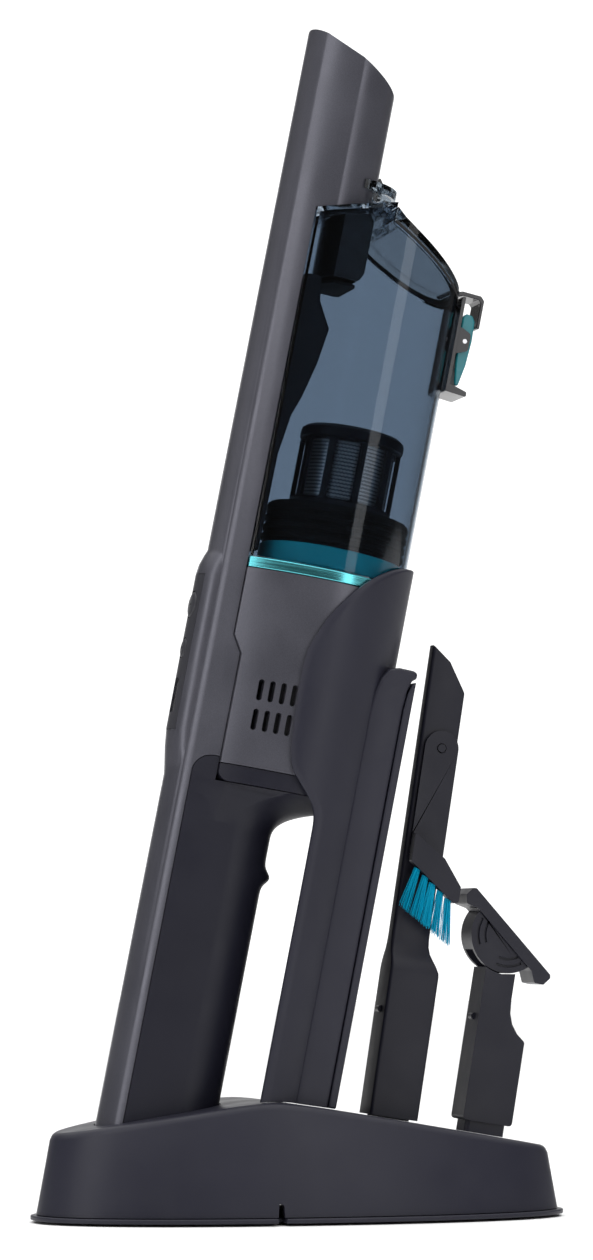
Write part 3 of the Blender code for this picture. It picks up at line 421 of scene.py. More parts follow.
def finish(obj, name, material, slot_name, body, *nodes, edge=0.3, angle=32):
    """Name a piece, give it its material and fine rounded edges, and say what it rides on and stands for."""
    obj.name = name
    obj.data.name = name
    obj.data.materials.clear()
    obj.data.materials.append(material)
    obj.data.polygons.foreach_set("material_index", [0] * len(obj.data.polygons))
    obj.data.shade_smooth()
    if edge:
        bevel = obj.modifiers.new("edges", "BEVEL")
        bevel.width = edge * MM
        bevel.segments = 3
        bevel.limit_method = "ANGLE"
        bevel.angle_limit = math.radians(angle)
        bevel.use_clamp_overlap = True
    obj.data.set_sharp_from_angle(angle=math.radians(angle))
    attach(obj, body)
    if nodes:
        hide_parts(*nodes)
    return obj


# ------------------------------------------------------------------ vacuum: spine and handle

def spine_section(offset=0.0, front=None):
    radius = TUBE_R + offset
    centre = (TUBE_D, 0.0)
    back = arc(centre, radius, 180 - CREASE_ANGLE, 180 + CREASE_ANGLE, 20)
    if front is None:
        return back + arc(centre, radius, 270, 450, 56)
    crease_d, crease_y = back[-1]
    reach = (front - crease_d) / (TUBE_D - crease_d)
    side_y = -crease_y + reach * (radius + crease_y)
    return back + [(front, -side_y), (front, side_y)]


def drum_section(offset=0.0, seam=SEAM_D):
    turn = math.radians(180 - CHEEK_ANGLE)
    u = DRUM_D + (CHEEK_R - DRUM_R) * math.cos(turn)
    v = (CHEEK_R - DRUM_R) * math.sin(turn)
    radius = CHEEK_R + offset
    last = 180 - math.degrees(math.acos((u - seam) / radius))
    front = arc((DRUM_D, 0), DRUM_R + offset, -CHEEK_ANGLE, CHEEK_ANGLE, 100)
    cheek = arc((u, -v), radius, CHEEK_ANGLE, last, 14)[1:]
    return front + cheek + [(d, -y) for d, y in reversed(cheek)]


def drum_block(offset, start, end, gap=0.0):
    """The drum between two heights, with the step in its seam; gap moves the seam back."""
    low, high = H_SEAM_STEP
    block = shape(extrude(drum_section(offset, SEAM_D - gap), start, end), VACUUM)
    top = max(end, high) + 1
    side = [(90, start - 1), (90, top), (SEAM_D - gap - 1, top), (SEAM_D - gap - 1, high),
            (SEAM_D_LOW - gap, low), (SEAM_D_LOW - gap, start - 1)]
    if start < low:
        carve(block, "INTERSECT", shape(extrude(side, -40, 40, "y"), VACUUM))
    return block


def roof_height(d):
    return H_ROOF_LOW + (d - 18.0) * ROOF_SLOPE


def rim_height(d):
    return H_RIM_AT_HINGE + (d - HINGE_D) * RIM_SLOPE


def pod_ring(h, proud):
    steps = 24
    outer = []
    for i in range(steps + 1):
        t = 2 * i / steps - 1
        angle = math.radians(180 + t * (CREASE_ANGLE - 2))
        radius = TUBE_R - 0.6 + (proud + 0.6) * (1 - t ** 4)
        outer.append((TUBE_D + radius * math.cos(angle), radius * math.sin(angle), h))
    inner_d = TUBE_D - TUBE_R + 8.0
    return outer + [(inner_d, outer[-1][1], h), (inner_d, outer[0][1], h)]


POD_RINGS = [pod_ring(h, proud) for h, proud in (
    (170, -0.4), (176, 0.5), (183, 1.7), (190, 2.5), (220, 2.7), (250, 2.7), (254, 2.2), (258, 0.9),
    (261, -0.4))]


def make_spine():
    spine = shape(extrude(spine_section(), H_CAP_TOP + 0.3, 480), VACUUM)
    carve(spine, "UNION", shape(loft(POD_RINGS), VACUUM))
    mouth_top = H_MOUTH_BACK + 8 * MOUTH_SLOPE
    mouth = extrude([(-8, mouth_top), (60, mouth_top - 68 * MOUTH_SLOPE), (60, 500), (-8, 500)], -30, 30, "y")
    bore = cylinder(TUBE_R - 1.9, 402, 500, (TUBE_D, 0), sides=128)
    pocket = drum_block(0.35, H_GRIP_TOP, 440, 0.3)
    under_roof = [(-10, 150), (90, 150), (90, roof_height(90) + 0.4), (-10, roof_height(-10) + 0.4)]
    carve(pocket, "INTERSECT", shape(extrude(under_roof, -40, 40, "y"), VACUUM))
    handle = extrude([(STRIP_D, 0), (60, 0), (60, H_GRIP_TOP + 2.3), (STRIP_D, H_GRIP_TOP + 2.3)],
                     -30, 30, "y")
    corner = extrude([(STRIP_D, 165), (30, 165), (30, 181.8)] + arc((14.3, 174.9), 6.9, 90, 180, 14),
                     -30, 30, "y")
    inlet = cylinder(7.2, 385, 420, (28.4, 0))
    hollow = extrude(spine_section(-2.4, 14.2), 186, 392)
    channel = extrude(spine_section(-2.4, STRIP_D + 5), 10, 187)
    recess = box((-6, -7.15, 189.15), (1.8, 7.15, 249.85))
    holes = [cylinder(r, -6, 8, (0, h), "d", 48) for r, h in ((5.4, 238), (4.2, 221))]
    openings = (mouth, bore, handle, corner, inlet, hollow, channel, recess, *holes)
    carve(spine, "DIFFERENCE", pocket, *[shape(opening, VACUUM) for opening in openings])
    finish(spine, "spine_shell_fine", GUNMETAL, "gunmetal_plastic", "vacuum", "spine_shell", edge=0.35)


def make_controls():
    """The panel follows the swell of the spine; two domed buttons and a smoked indicator are set into it."""
    panel = shape(box((-6, -7.0, 189.3), (1.5, 7.0, 249.7)), VACUUM)
    holes = [cylinder(r, -6, 8, (0, h), "d", 48) for r, h in ((5.4, 238), (4.2, 221))]
    window = extrude(rounded_rectangle(-3.3, 3.3, 195.7, 209.3, 1.5), -4, 3, "d")
    carve(panel, "INTERSECT", shape(loft(POD_RINGS), VACUUM))
    carve(panel, "DIFFERENCE", *[shape(tool, VACUUM) for tool in (window, *holes)])
    finish(panel, "control_panel_fine", PANEL, "black_plastic", "vacuum", "control_panel", edge=0.2)
    for name, radius, h in (("power_button", 5.1, 238), ("mode_button", 3.9, 221)):
        dome = [(radius, 1.2), (radius, -1.5), (radius - 0.3, -2.0), (radius - 1.1, -2.3), (0.6, -2.4),
                (0.6, 1.2)]
        rings = [[(d, r * math.cos(a), h + r * math.sin(a)) for a in
                  (2 * math.pi * i / 64 for i in range(64))] for r, d in dome]
        button = shape(loft(rings), VACUUM)
        finish(button, name + "_fine", PANEL, "black_plastic", name, name, edge=0.15)


def grip_ring(h, flare, bump=0.0):
    d = GRIP_D + (DRUM_D - GRIP_D) * flare
    radius = GRIP_R + (DRUM_R - 0.5 - GRIP_R) * flare
    front = arc((d, 0), radius, -100, 100, 56)
    front = [(u + bump * max(0.0, math.cos(math.atan2(v, u - d))) ** 4, v) for u, v in front]
    back = [(13.2, 14.9), (STRIP_D + 0.3, 13.2), (STRIP_D + 0.3, -13.2), (13.2, -14.9)]
    return [(u, v, h) for u, v in front + back]


def make_grip():
    """The soft grip: straight below, a finger stop, then a smooth flare into the drum's circle."""
    rings = [grip_ring(H_CAP_TOP + 0.3, 0), grip_ring(60, 0), grip_ring(100, 0)]
    steps = 46
    for i in range(steps + 1):
        h = 126 + (H_GRIP_TOP - 126) * i / steps
        flare = max(0.0, (h - 155.5) / (H_GRIP_TOP - 155.5)) ** 2.6
        bump = 2.9 * math.exp(-((h - 141.2) / 2.9) ** 2)
        rings.append(grip_ring(h, flare, bump))
    grip = shape(loft(rings), VACUUM)
    insets = ((-4.6, 152), (-2.6, 160), (-1.0, 167), (-0.3, 172), (-0.1, 176), (-0.1, 190))
    shoulder_rings = [[(d, y, h) for d, y in spine_section(offset)] for offset, h in insets]
    shoulder = shape(loft(shoulder_rings), VACUUM)
    corner = [(STRIP_D + 0.3, 150)] + arc((14.3, 174.9), 6.6, 180, 90, 14) + [(30, 181.5), (30, 150)]
    carve(shoulder, "INTERSECT", shape(extrude(corner, -30, 30, "y"), VACUUM))
    carve(shoulder, "DIFFERENCE", drum_block(0.35, H_GRIP_TOP, 200, 0.3),
          shape(extrude(spine_section(-2.4, 14.2), 100, 200), VACUUM))
    carve(grip, "UNION", shoulder)
    finish(grip, "grip_fine", GRIP, "soft_grip", "vacuum", "grip", edge=0.4)


def make_motor_housing():
    housing = drum_block(0.0, 179.5, 254.6)
    carve(housing, "DIFFERENCE", shape(cylinder(DRUM_R - 2.2, 178, 251.6, (DRUM_D, 0), sides=128), VACUUM),
          shape(cylinder(21.0, 250, 256, (DRUM_D, 0)), VACUUM))
    tools = []
    for side in (-1, 1):
        low, high = sorted((12 * side, 40 * side))
        for row in (193.4, 204.8):
            for column in range(7):
                vent = slot(25.2 + 4.07 * column, row, row + 8.2, 2.0)
                tools.append(shape(extrude(vent, low, high, "y"), VACUUM))
    carve(housing, "DIFFERENCE", *tools)
    finish(housing, "motor_housing_fine", GUNMETAL, "gunmetal_plastic", "vacuum", "motor_housing", edge=0.25)
    liner = [(DRUM_R - 2.6, 251.0), (DRUM_R - 2.6, 182.0), (DRUM_R - 3.4, 182.0), (DRUM_R - 3.4, 251.0)]
    finish(shape(lathe(liner, (DRUM_D, 0)), VACUUM), "motor_liner", RUBBER, "rubber", "vacuum", edge=0)

    cover = shape(extrude(drum_section(-0.5, SEAM_D_LOW), 172.9, 179.2), VACUUM)
    corner = arc((20.4, 176.7), 3.8, 180, 270, 10) + [(90, 172.9), (90, 180), (16.6, 180)]
    carve(cover, "INTERSECT", shape(extrude(corner, -40, 40, "y"), VACUUM))
    carve(cover, "DIFFERENCE", shape(cylinder(8.0, 175, 190, (DRUM_D, 0)), VACUUM))
    finish(cover, "motor_cover_fine", BLACK, "black_plastic", "vacuum", "motor_cover", edge=0.7)
    trim = shape(extrude(drum_section(), 254.9, 258.9), VACUUM)
    carve(trim, "DIFFERENCE", shape(cylinder(DRUM_R - 3.0, 250, 262, (DRUM_D, 0), sides=128), VACUUM))
    finish(trim, "trim_ring_fine", TEAL_METAL, "teal_anodised", "vacuum", "trim_ring", edge=0.35)


# ------------------------------------------------------------------ vacuum: filter

def make_filter():
    axis = (DRUM_D, 0)
    base = [(27.7, 267.4), (27.7, 260.2), (27.3, 259.7), (15, 259.7), (15, 267.8), (27.3, 267.8)]
    finish(shape(lathe(base, axis), VACUUM), "filter_base_fine", TEAL_INNER, "teal_anodised", "filter",
           "filter_base", edge=0)
    seal = [(26.6, 284.2), (27.2, 283.6)]
    for index in range(4):
        top = 282.4 - 3.7 * index
        seal += [(27.9, top), (27.9, top - 1.5), (26.9, top - 2.0), (26.9, top - 3.2)]
    seal += [(27.0, 268.1), (23.6, 268.1), (23.6, 284.2)]
    finish(shape(lathe(seal, axis), VACUUM), "filter_seal_fine", RUBBER, "rubber", "filter", "filter_seal",
           edge=0)

    cage = [(3.0, 318.0), (10.4, 318.0), (11.4, 316.9), (18.4, 316.6), (19.9, 315.4), (20.2, 314.2),
            (20.2, 311.8), (19.7, 311.2), (19.7, 287), (21.2, 284.6), (23.3, 284.0), (23.3, 268.3),
            (17.8, 268.3), (17.8, 312.4), (3.0, 312.4)]
    shell = shape(lathe(cage, axis, 160), VACUUM)
    windows = []
    for index in range(10):
        bm = extrude(rounded_rectangle(-4.7, 4.7, 287.6, 310.4, 0.8), 14, 24, "d")
        bmesh.ops.rotate(bm, cent=(0, 0, 0), matrix=Matrix.Rotation(math.radians(36 * index), 3, "Z"),
                         verts=bm.verts)
        bmesh.ops.translate(bm, vec=(DRUM_D, 0, 0), verts=bm.verts)
        windows.append(shape(bm, VACUUM))
    carve(shell, "DIFFERENCE", *windows)
    finish(shell, "filter_cage_fine", BLACK, "black_plastic", "filter", "filter_cage", edge=0.25)

    sides, radius, low, high = 96, 17.3, 285.2, 312.0
    bm = lathe([(radius, high), (radius, low), (radius - 0.5, low), (radius - 0.5, high)], axis, sides)
    layer = bm.loops.layers.uv.new("sheet")
    for face in bm.faces:
        angles = [math.atan2(loop.vert.co.y, loop.vert.co.x - DRUM_D) for loop in face.loops]
        wraps = max(angles) - min(angles) > math.pi
        for loop, angle in zip(face.loops, angles):
            turned = angle + 2 * math.pi if wraps and angle < 0 else angle
            loop[layer].uv = (turned * radius, loop.vert.co.z)
    finish(shape(bm, VACUUM), "filter_mesh_fine", MESH_STEEL, "steel", "filter", "filter_mesh", edge=0)


# ------------------------------------------------------------------ vacuum: dust cup and lid

def make_cup():
    cup = shape(extrude(drum_section(), 259.3, 430), VACUUM)
    outside = [(8, 250), (90, 250), (90, rim_height(90)), (HINGE_D, H_RIM_AT_HINGE),
               (HINGE_D, roof_height(HINGE_D)), (8, roof_height(8))]
    carve(cup, "INTERSECT", shape(extrude(outside, -40, 40, "y"), VACUUM))
    room = shape(extrude(drum_section(-1.8, SEAM_D + 1.6), 256, 430), VACUUM)
    inside = [(8, 250), (90, 250), (90, rim_height(90) + 6), (HINGE_D, H_RIM_AT_HINGE + 6),
              (HINGE_D, roof_height(HINGE_D) - 1.8), (8, roof_height(8) - 1.8)]
    carve(room, "INTERSECT", shape(extrude(inside, -40, 40, "y"), VACUUM))
    carve(cup, "DIFFERENCE", room, shape(cylinder(7.2, 385, 420, (28.4, 0)), VACUUM))
    for side in (-1, 1):
        ear = fillet([(36.6, 400.5), (40.6, 400.5), (43.2, 403.0), (43.2, 406.6), (39.0, 406.6),
                      (36.6, 403.8)], 1.2)
        carve(cup, "UNION", shape(extrude(ear, 9.4 * side, 12.4 * side, "y"), VACUUM))
    carve(cup, "DIFFERENCE", shape(cylinder(1.2, -20, 20, (HINGE_D, HINGE_H), "y", 24), VACUUM),
          shape(cylinder(2.3, -9.4, 9.4, (HINGE_D, HINGE_H), "y", 32), VACUUM))
    finish(cup, "dust_cup_fine", SMOKE, "smoke_polycarbonate", "vacuum", "dust_cup", edge=0.3)


def make_duct():
    """The dark inlet duct under the cup's roof, and its rubber flap."""
    duct = shape(cylinder(DRUM_R - 2.4, 372, 410, (DRUM_D, 0), sides=128), VACUUM)
    side = fillet([(10, 372.5), (35.0, 372.5), (36.6, 376), (36.6, roof_height(36.6) - 6.5),
                   (34.8, roof_height(34.8) - 2.4), (10, roof_height(10) - 2.4)], 2.0)
    carve(duct, "INTERSECT", shape(extrude(side, -15, 15, "y"), VACUUM))
    inner = shape(cylinder(DRUM_R - 3.8, 360, 410, (DRUM_D, 0), sides=128), VACUUM)
    hollow = [(10, 360), (35.2, 360), (35.2, roof_height(35) - 8), (33.6, roof_height(33.6) - 3.8),
              (10, roof_height(10) - 3.8)]
    carve(inner, "INTERSECT", shape(extrude(hollow, -13.6, 13.6, "y"), VACUUM))
    carve(duct, "DIFFERENCE", inner, shape(cylinder(7.2, 385, 420, (28.4, 0)), VACUUM))
    finish(duct, "inlet_duct_fine", GLOSS_BLACK, "black_plastic", "vacuum", "inlet_duct", edge=0.3)
    flap = shape(cylinder(DRUM_R - 4.2, 370.2, 371.4, (DRUM_D, 0), sides=128), VACUUM)
    carve(flap, "INTERSECT", shape(extrude(rounded_rectangle(10, 35.0, -13.2, 13.2, 3.0), 360, 380), VACUUM))
    finish(flap, "inlet_flap_fine", RUBBER, "rubber", "inlet_flap", "inlet_flap", edge=0.3)
    vane = fillet([(14.9, 371.5), (20.8, 371.5), (22.0, 362), (27.6, 352), (25.6, 338), (22.2, 324),
                   (19.4, 316), (17.2, 300), (16.8, 262), (14.9, 262)], 1.5)
    finish(shape(extrude(vane, -13.5, 13.5, "y"), VACUUM), "guide_vane", PANEL, "black_plastic", "vacuum",
           edge=0.5)


def make_lid():
    top = [(79.4, 377.4), (73.5, 381.2), (67, 385.0), (58.5, 390.0), (50, 395.0), (45, 398.3),
           (HINGE_D + 0.4, 401.6)]
    lid = shape(cylinder(DRUM_R, 360, 430, (DRUM_D, 0), sides=160), VACUUM)
    under = [(HINGE_D + 0.4, rim_height(HINGE_D + 0.4) + 1.5), (79.4, rim_height(79.4) + 1.5)]
    carve(lid, "INTERSECT", shape(extrude(under + top, -40, 40, "y"), VACUUM))
    hollow = shape(cylinder(DRUM_R - 3.0, 350, 430, (DRUM_D, 0), sides=160), VACUUM)
    ceiling = [(d, h - 1.9) for d, h in top[1:-1]]
    carve(hollow, "INTERSECT", shape(extrude([(HINGE_D + 3.4, 365), (80, 365)] + ceiling
                                             + [(HINGE_D + 3.4, 396.6)], -40, 40, "y"), VACUUM))
    carve(lid, "DIFFERENCE", hollow)
    web = extrude([(41.8, 396.4), (45.0, 396.4), (45.0, 399.6), (42.8, 405.4), (41.8, 405.4)], -9, 9, "y")
    carve(lid, "UNION", shape(web, VACUUM),
          shape(cylinder(1.9, -9.0, 9.0, (HINGE_D, HINGE_H), "y", 40), VACUUM))
    tools = [cylinder(1.2, -20, 20, (HINGE_D, HINGE_H), "y", 24)]
    for side in (-1, 1):
        tools.append(extrude([(38, 395), (43.9, 395), (43.9, 412), (38, 412)], 9.1 * side, 12.8 * side, "y"))
    carve(lid, "DIFFERENCE", *[shape(tool, VACUUM) for tool in tools])
    finish(lid, "cup_lid_fine", SMOKE_DARK, "smoke_polycarbonate", "cup_lid", "cup_lid", edge=0.5)

    gasket = shape(cylinder(DRUM_R + 0.1, 360, 430, (DRUM_D, 0), sides=160), VACUUM)
    band = [(HINGE_D + 0.6, rim_height(HINGE_D + 0.6) + 0.2), (79.6, rim_height(79.6) + 0.2),
            (79.6, rim_height(79.6) + 1.4), (HINGE_D + 0.6, rim_height(HINGE_D + 0.6) + 1.4)]
    carve(gasket, "INTERSECT", shape(extrude(band, -40, 40, "y"), VACUUM))
    carve(gasket, "DIFFERENCE", shape(cylinder(DRUM_R - 3.4, 350, 440, (DRUM_D, 0), sides=160), VACUUM))
    finish(gasket, "lid_gasket", RUBBER, "rubber", "cup_lid", edge=0)

    tongue = fillet([(75.6, 379.4), (79.0, 380.6), (86.6, 380.4), (88.2, 378.8), (88.2, 367.4), (86.9, 367.4),
                     (86.9, 377.6), (85.8, 378.8), (79.6, 378.9), (75.6, 377.4)], 0.8)
    finish(shape(extrude(tongue, -6.5, 6.5, "y"), VACUUM), "lid_tongue", GLOSS_BLACK, "black_plastic",
           "cup_lid", edge=0.3)


def make_release_tab():
    tab = shape(cylinder(16.4, 408.7, 412.4, (30.2, 0), sides=128), VACUUM)
    tube = cylinder(TUBE_R + 0.6, 400, 420, (TUBE_D, 0), sides=128)
    under = shape(cylinder(14.8, 405, 410.9, (30.2, 0), sides=128), VACUUM)
    carve(under, "DIFFERENCE", shape(cylinder(TUBE_R + 2.2, 400, 420, (TUBE_D, 0), sides=128), VACUUM))
    catch_room = box((30, -2.8, 400), (41.8, 2.8, 420))
    carve(tab, "DIFFERENCE", shape(tube, VACUUM), under, shape(catch_room, VACUUM))
    for side in (-1, 1):
        low, high = sorted((12.9 * side, 14.4 * side))
        carve(tab, "UNION", shape(box((34.4, low, 405.0), (36.2, high, 409.6)), VACUUM))
    finish(tab, "cup_release_tab_fine", SMOKE_DARK, "smoke_polycarbonate", "cup_release_tab",
           "cup_release_tab", edge=0.6)


def make_latch():
    plate = fillet([(78.7, 378.2), (80.1, 378.2), (80.1, 343.4), (87.2, 341.6), (87.4, 339.6),
                    (78.7, 340.2)], 0.7)
    bracket = shape(extrude(plate, -8.8, 8.8, "y"), VACUUM)
    for side in (-1, 1):
        ear = fillet([(79.2, 355), (84.8, 357.6), (84.8, 364.2), (79.2, 366.8)], 1.6)
        low, high = sorted((7.5 * side, 8.7 * side))
        carve(bracket, "UNION", shape(extrude(ear, low, high, "y"), VACUUM))
    finish(bracket, "latch_bracket_fine", GLOSS_BLACK, "black_plastic", "vacuum", "latch_bracket", edge=0.25)
    outline = fillet([(80.7, 370.6), (82.0, 372.2), (84.6, 371.8), (85.8, 369.6), (86.1, 362), (85.4, 352),
                      (83.8, 343.6), (82.3, 343.6), (81.2, 352), (80.7, 361)], 1.2)
    finish(shape(extrude(outline, -7.2, 7.2, "y"), VACUUM), "latch_button_fine", TEAL, "teal_plastic",
           "latch_button", "latch_button", edge=0.6)
    root = TUBE_D + TUBE_R + 0.3
    catch = fillet([(root, 408.2), (40.6, 408.2), (41.0, 414.5), (root, 418.2)], 0.6)
    finish(shape(extrude(catch, -2.0, 2.0, "y"), VACUUM), "cup_catch_fine", GLOSS_BLACK, "black_plastic",
           "vacuum", "cup_catch", edge=0.3)


# ------------------------------------------------------------------ stand

def roof_z(x):
    return RIDGE_Z - ROOF_FALL * (math.hypot(x - RIDGE_X, 9.0) - 9.0)


def oval(inset, steps=160):
    points = []
    for i in range(steps):
        angle = 2 * math.pi * (i + 0.5) / steps
        c, s = math.cos(angle), math.sin(angle)
        points.append(((BASE_A - inset) * math.copysign(abs(c) ** (2 / BASE_POWER), c),
                       (BASE_B - inset) * math.copysign(abs(s) ** (2 / BASE_POWER), s)))
    return points


def base_body(inset, floor, drop, edge=2.6, steps=160):
    rings = [[(x, y, floor) for x, y in oval(inset, steps)]]
    for t in (0.0, 0.2, 0.38, 0.54, 0.68, 0.8, 0.9, 0.97, 1.0):
        level = []
        for x, y in oval(inset, steps):
            sink = edge * (1 - math.sin(math.acos(1 - t)))
            rise = roof_z(x) - drop - sink - floor
            px = x * (1 - (0.185 * rise + edge * t) / (BASE_A - inset))
            py = y * (1 - (0.13 * rise + edge * t) / (BASE_B - inset))
            level.append((px, py, roof_z(px) - drop - sink))
        rings.append(level)
    bm = bmesh.new()
    rows = [[bm.verts.new(point) for point in level] for level in rings]
    for lower, upper in zip(rows, rows[1:]):
        for i in range(steps):
            j = (i + 1) % steps
            bm.faces.new((lower[i], lower[j], upper[j], upper[i]))
    bm.faces.new(rows[0])
    top = rows[-1]
    for i in range(steps // 2 - 1):
        bm.faces.new((top[i], top[i + 1], top[steps - 2 - i], top[steps - 1 - i]))
    return bm


def handle_outline(grow):
    side = 13.3 + grow
    outline = arc((GRIP_D, 0), GRIP_R + grow, -90, 90, 32) + [(STRIP_D, side)]
    outline += arc((TUBE_D, 0), TUBE_R + grow, 180 - CREASE_ANGLE, 180 + CREASE_ANGLE, 16)
    return outline + [(STRIP_D, -side)]


def make_base():
    shell = shape(base_body(2.2, 3.1, 0), STAND)
    notch = fillet([(-19.6, -2), (-16.2, -2), (-16.9, 7.6), (-18.7, 8.4)], 0.5)
    carve(shell, "DIFFERENCE", shape(base_body(4.6, 1.0, 2.4, 1.0), STAND))
    block = shape(extrude(handle_outline(2.6), 16.8, 90), VACUUM)
    carve(block, "INTERSECT", shape(base_body(2.8, 3.1, 0.6, 1.6), STAND))
    carve(shell, "UNION", block)
    pins = [shape(cylinder(1.7, 5, 30, (d, 0), sides=32), VACUUM) for d in (20, 32)]
    carve(shell, "DIFFERENCE", shape(extrude(handle_outline(0.6), 19.5, 120), VACUUM), *pins,
          shape(extrude(notch, -60, -30, "y"), STAND), shape(cylinder(3.4, 30, 60, (24, 14), "y"), STAND))
    finish(shell, "base_shell_fine", CHARCOAL, "charcoal_plastic", "stand", "base_shell", edge=0.3)

    plate = shape(extrude(oval(0), 1.0, 2.8), STAND)
    carve(plate, "DIFFERENCE", shape(box((-19.4, -60, 0), (-16.4, -36, 8.5)), STAND),
          *[shape(cylinder(2.4, 0, 5, (x, 0), sides=32), STAND) for x in (-14, 86)])
    finish(plate, "base_plate_fine", CHARCOAL, "charcoal_plastic", "stand", "base_plate", edge=0.5)


# (height, reach of the front wing, reach of the back wing) in degrees round the drum
WING = ((50.0, 80, 42), (110, 80, 42), (158, 80, 42), (166, 81, 42), (171, 85.5, 42), (177, 95, 45),
        (181, 101, 54), (184, 103.5, 66), (187.5, 105, 82), (192, 106, 96), (200, 107, 107), (212, 108, 108),
        (221, 108, 108), (228, 106.5, 106.5), (234, 102.5, 102.5), (241, 97, 97), (250, 86, 86),
        (256.3, 76, 76),
        (261, 65, 65), (264.5, 53, 53), (266.7, 40, 40), (267.8, 26, 26))


def smooth_rows(rows, per_gap=5):
    """More rows between the given ones, on a Catmull-Rom curve."""
    result = []
    for i in range(len(rows) - 1):
        before, here = rows[max(i - 1, 0)], rows[i]
        there, after = rows[i + 1], rows[min(i + 2, len(rows) - 1)]
        for step in range(per_gap):
            t = step / per_gap
            point = []
            for k in range(3):
                height = (there[0] - here[0])
                slope_a = (there[k] - before[k]) / max(there[0] - before[0], 1e-6) * height
                slope_b = (after[k] - here[k]) / max(after[0] - here[0], 1e-6) * height
                point.append((2 * t ** 3 - 3 * t ** 2 + 1) * here[k] + (t ** 3 - 2 * t ** 2 + t) * slope_a
                             + (3 * t ** 2 - 2 * t ** 3) * there[k] + (t ** 3 - t ** 2) * slope_b)
            result.append(tuple(point))
    return result + [rows[-1]]


def make_arm():
    """The half-pipe with a rolled rim, its rib, and the rear cover."""
    rows, columns = smooth_rows(WING), 90
    bm = bmesh.new()
    sheets = []
    for radius, rolled in ((ARM_OUT, True), (ARM_IN, False)):
        sheet = []
        for row, (h, front, back) in enumerate(rows):
            line = []
            for i in range(columns + 1):
                angle = -front + (front + back) * i / columns
                from_edge = math.radians(min(angle + front, back - angle)) * radius
                from_top = rows[-1][0] - h
                near = min(from_edge, from_top + 3.0) if row > len(rows) * 0.7 else from_edge
                roll = 0.75 * (1 - min(near, 3.4) / 3.4) ** 1.5 if rolled else 0.0
                a = math.radians(angle)
                reach = radius - roll
                line.append(bm.verts.new((DRUM_D + reach * math.cos(a), reach * math.sin(a), h)))
            sheet.append(line)
        sheets.append(sheet)
        for lower, upper in zip(sheet, sheet[1:]):
            for i in range(columns):
                bm.faces.new((lower[i], lower[i + 1], upper[i + 1], upper[i]))
    outer, inner = sheets
    rim = [line[0] for line in outer], [line[0] for line in inner]
    far = [line[-1] for line in outer], [line[-1] for line in inner]
    for a, b in (rim, far, (outer[0], inner[0]), (outer[-1], inner[-1])):
        for i in range(len(a) - 1):
            bm.faces.new((a[i], a[i + 1], b[i + 1], b[i]))
    arm = shape(bm, VACUUM)

    side = [(68.0, 50), (81.1, 50), (81.1, 213), (81.6, 220), (82.8, 224.6), (84.4, 225.6), (84.4, 227.6),
            (83.0, 228.5), (77.0, 228.5), (73.2, 227.4), (70.4, 223.0), (68.6, 216), (68.0, 208)]
    rib = shape(extrude(fillet(side, 2.5), -26, 26, "y"), VACUUM)
    bevel = rib.modifiers.new("edges", "BEVEL")
    bevel.width, bevel.segments = 1.6 * MM, 4
    bevel.limit_method, bevel.angle_limit = "ANGLE", math.radians(50)
    carve(rib, "DIFFERENCE", shape(cylinder((ARM_IN + ARM_OUT) / 2, 40, 300, (DRUM_D, 0), sides=160), VACUUM),
          shape(box((60, 16, 40), (71.4, 40, 188)), VACUUM))
    carve(arm, "UNION", rib)
    room = shape(box((70, -23.6, 50), (90, 23.6, 214)), VACUUM)
    carve(room, "DIFFERENCE", shape(cylinder(ARM_OUT - 0.2, 40, 300, (DRUM_D, 0), sides=160), VACUUM))
    carve(arm, "DIFFERENCE", room)

    cover_side = [(81.4, 50), (84.4, 50), (84.4, 224.4), (83.2, 223.7), (82.0, 219.6), (81.4, 213)]
    cover = shape(extrude(cover_side, -26, 26, "y"), VACUUM)
    line = [(x, roof_z(x) + 0.3) for x in range(110, -111, -5)]
    for piece in (arm, cover):
        carve(piece, "DIFFERENCE", shape(extrude(line + [(-110, -60), (110, -60)], -60, 60, "y"), STAND))
    finish(arm, "cradle_arm_fine", CHARCOAL, "charcoal_plastic", "stand", "cradle_arm", edge=0.35, angle=38)
    finish(cover, "arm_rear_cover_fine", CHARCOAL, "charcoal_plastic", "stand", "arm_rear_cover", edge=1.0)


# ------------------------------------------------------------------ nozzles

PIVOT = (-1.8, 181.6)


def nozzle_rings(stations, radius):
    return [[(u, v, h) for u, v in rounded_rectangle(d0, d1, -y, y, min(radius, y * 0.9))]
            for h, d0, d1, y in stations]


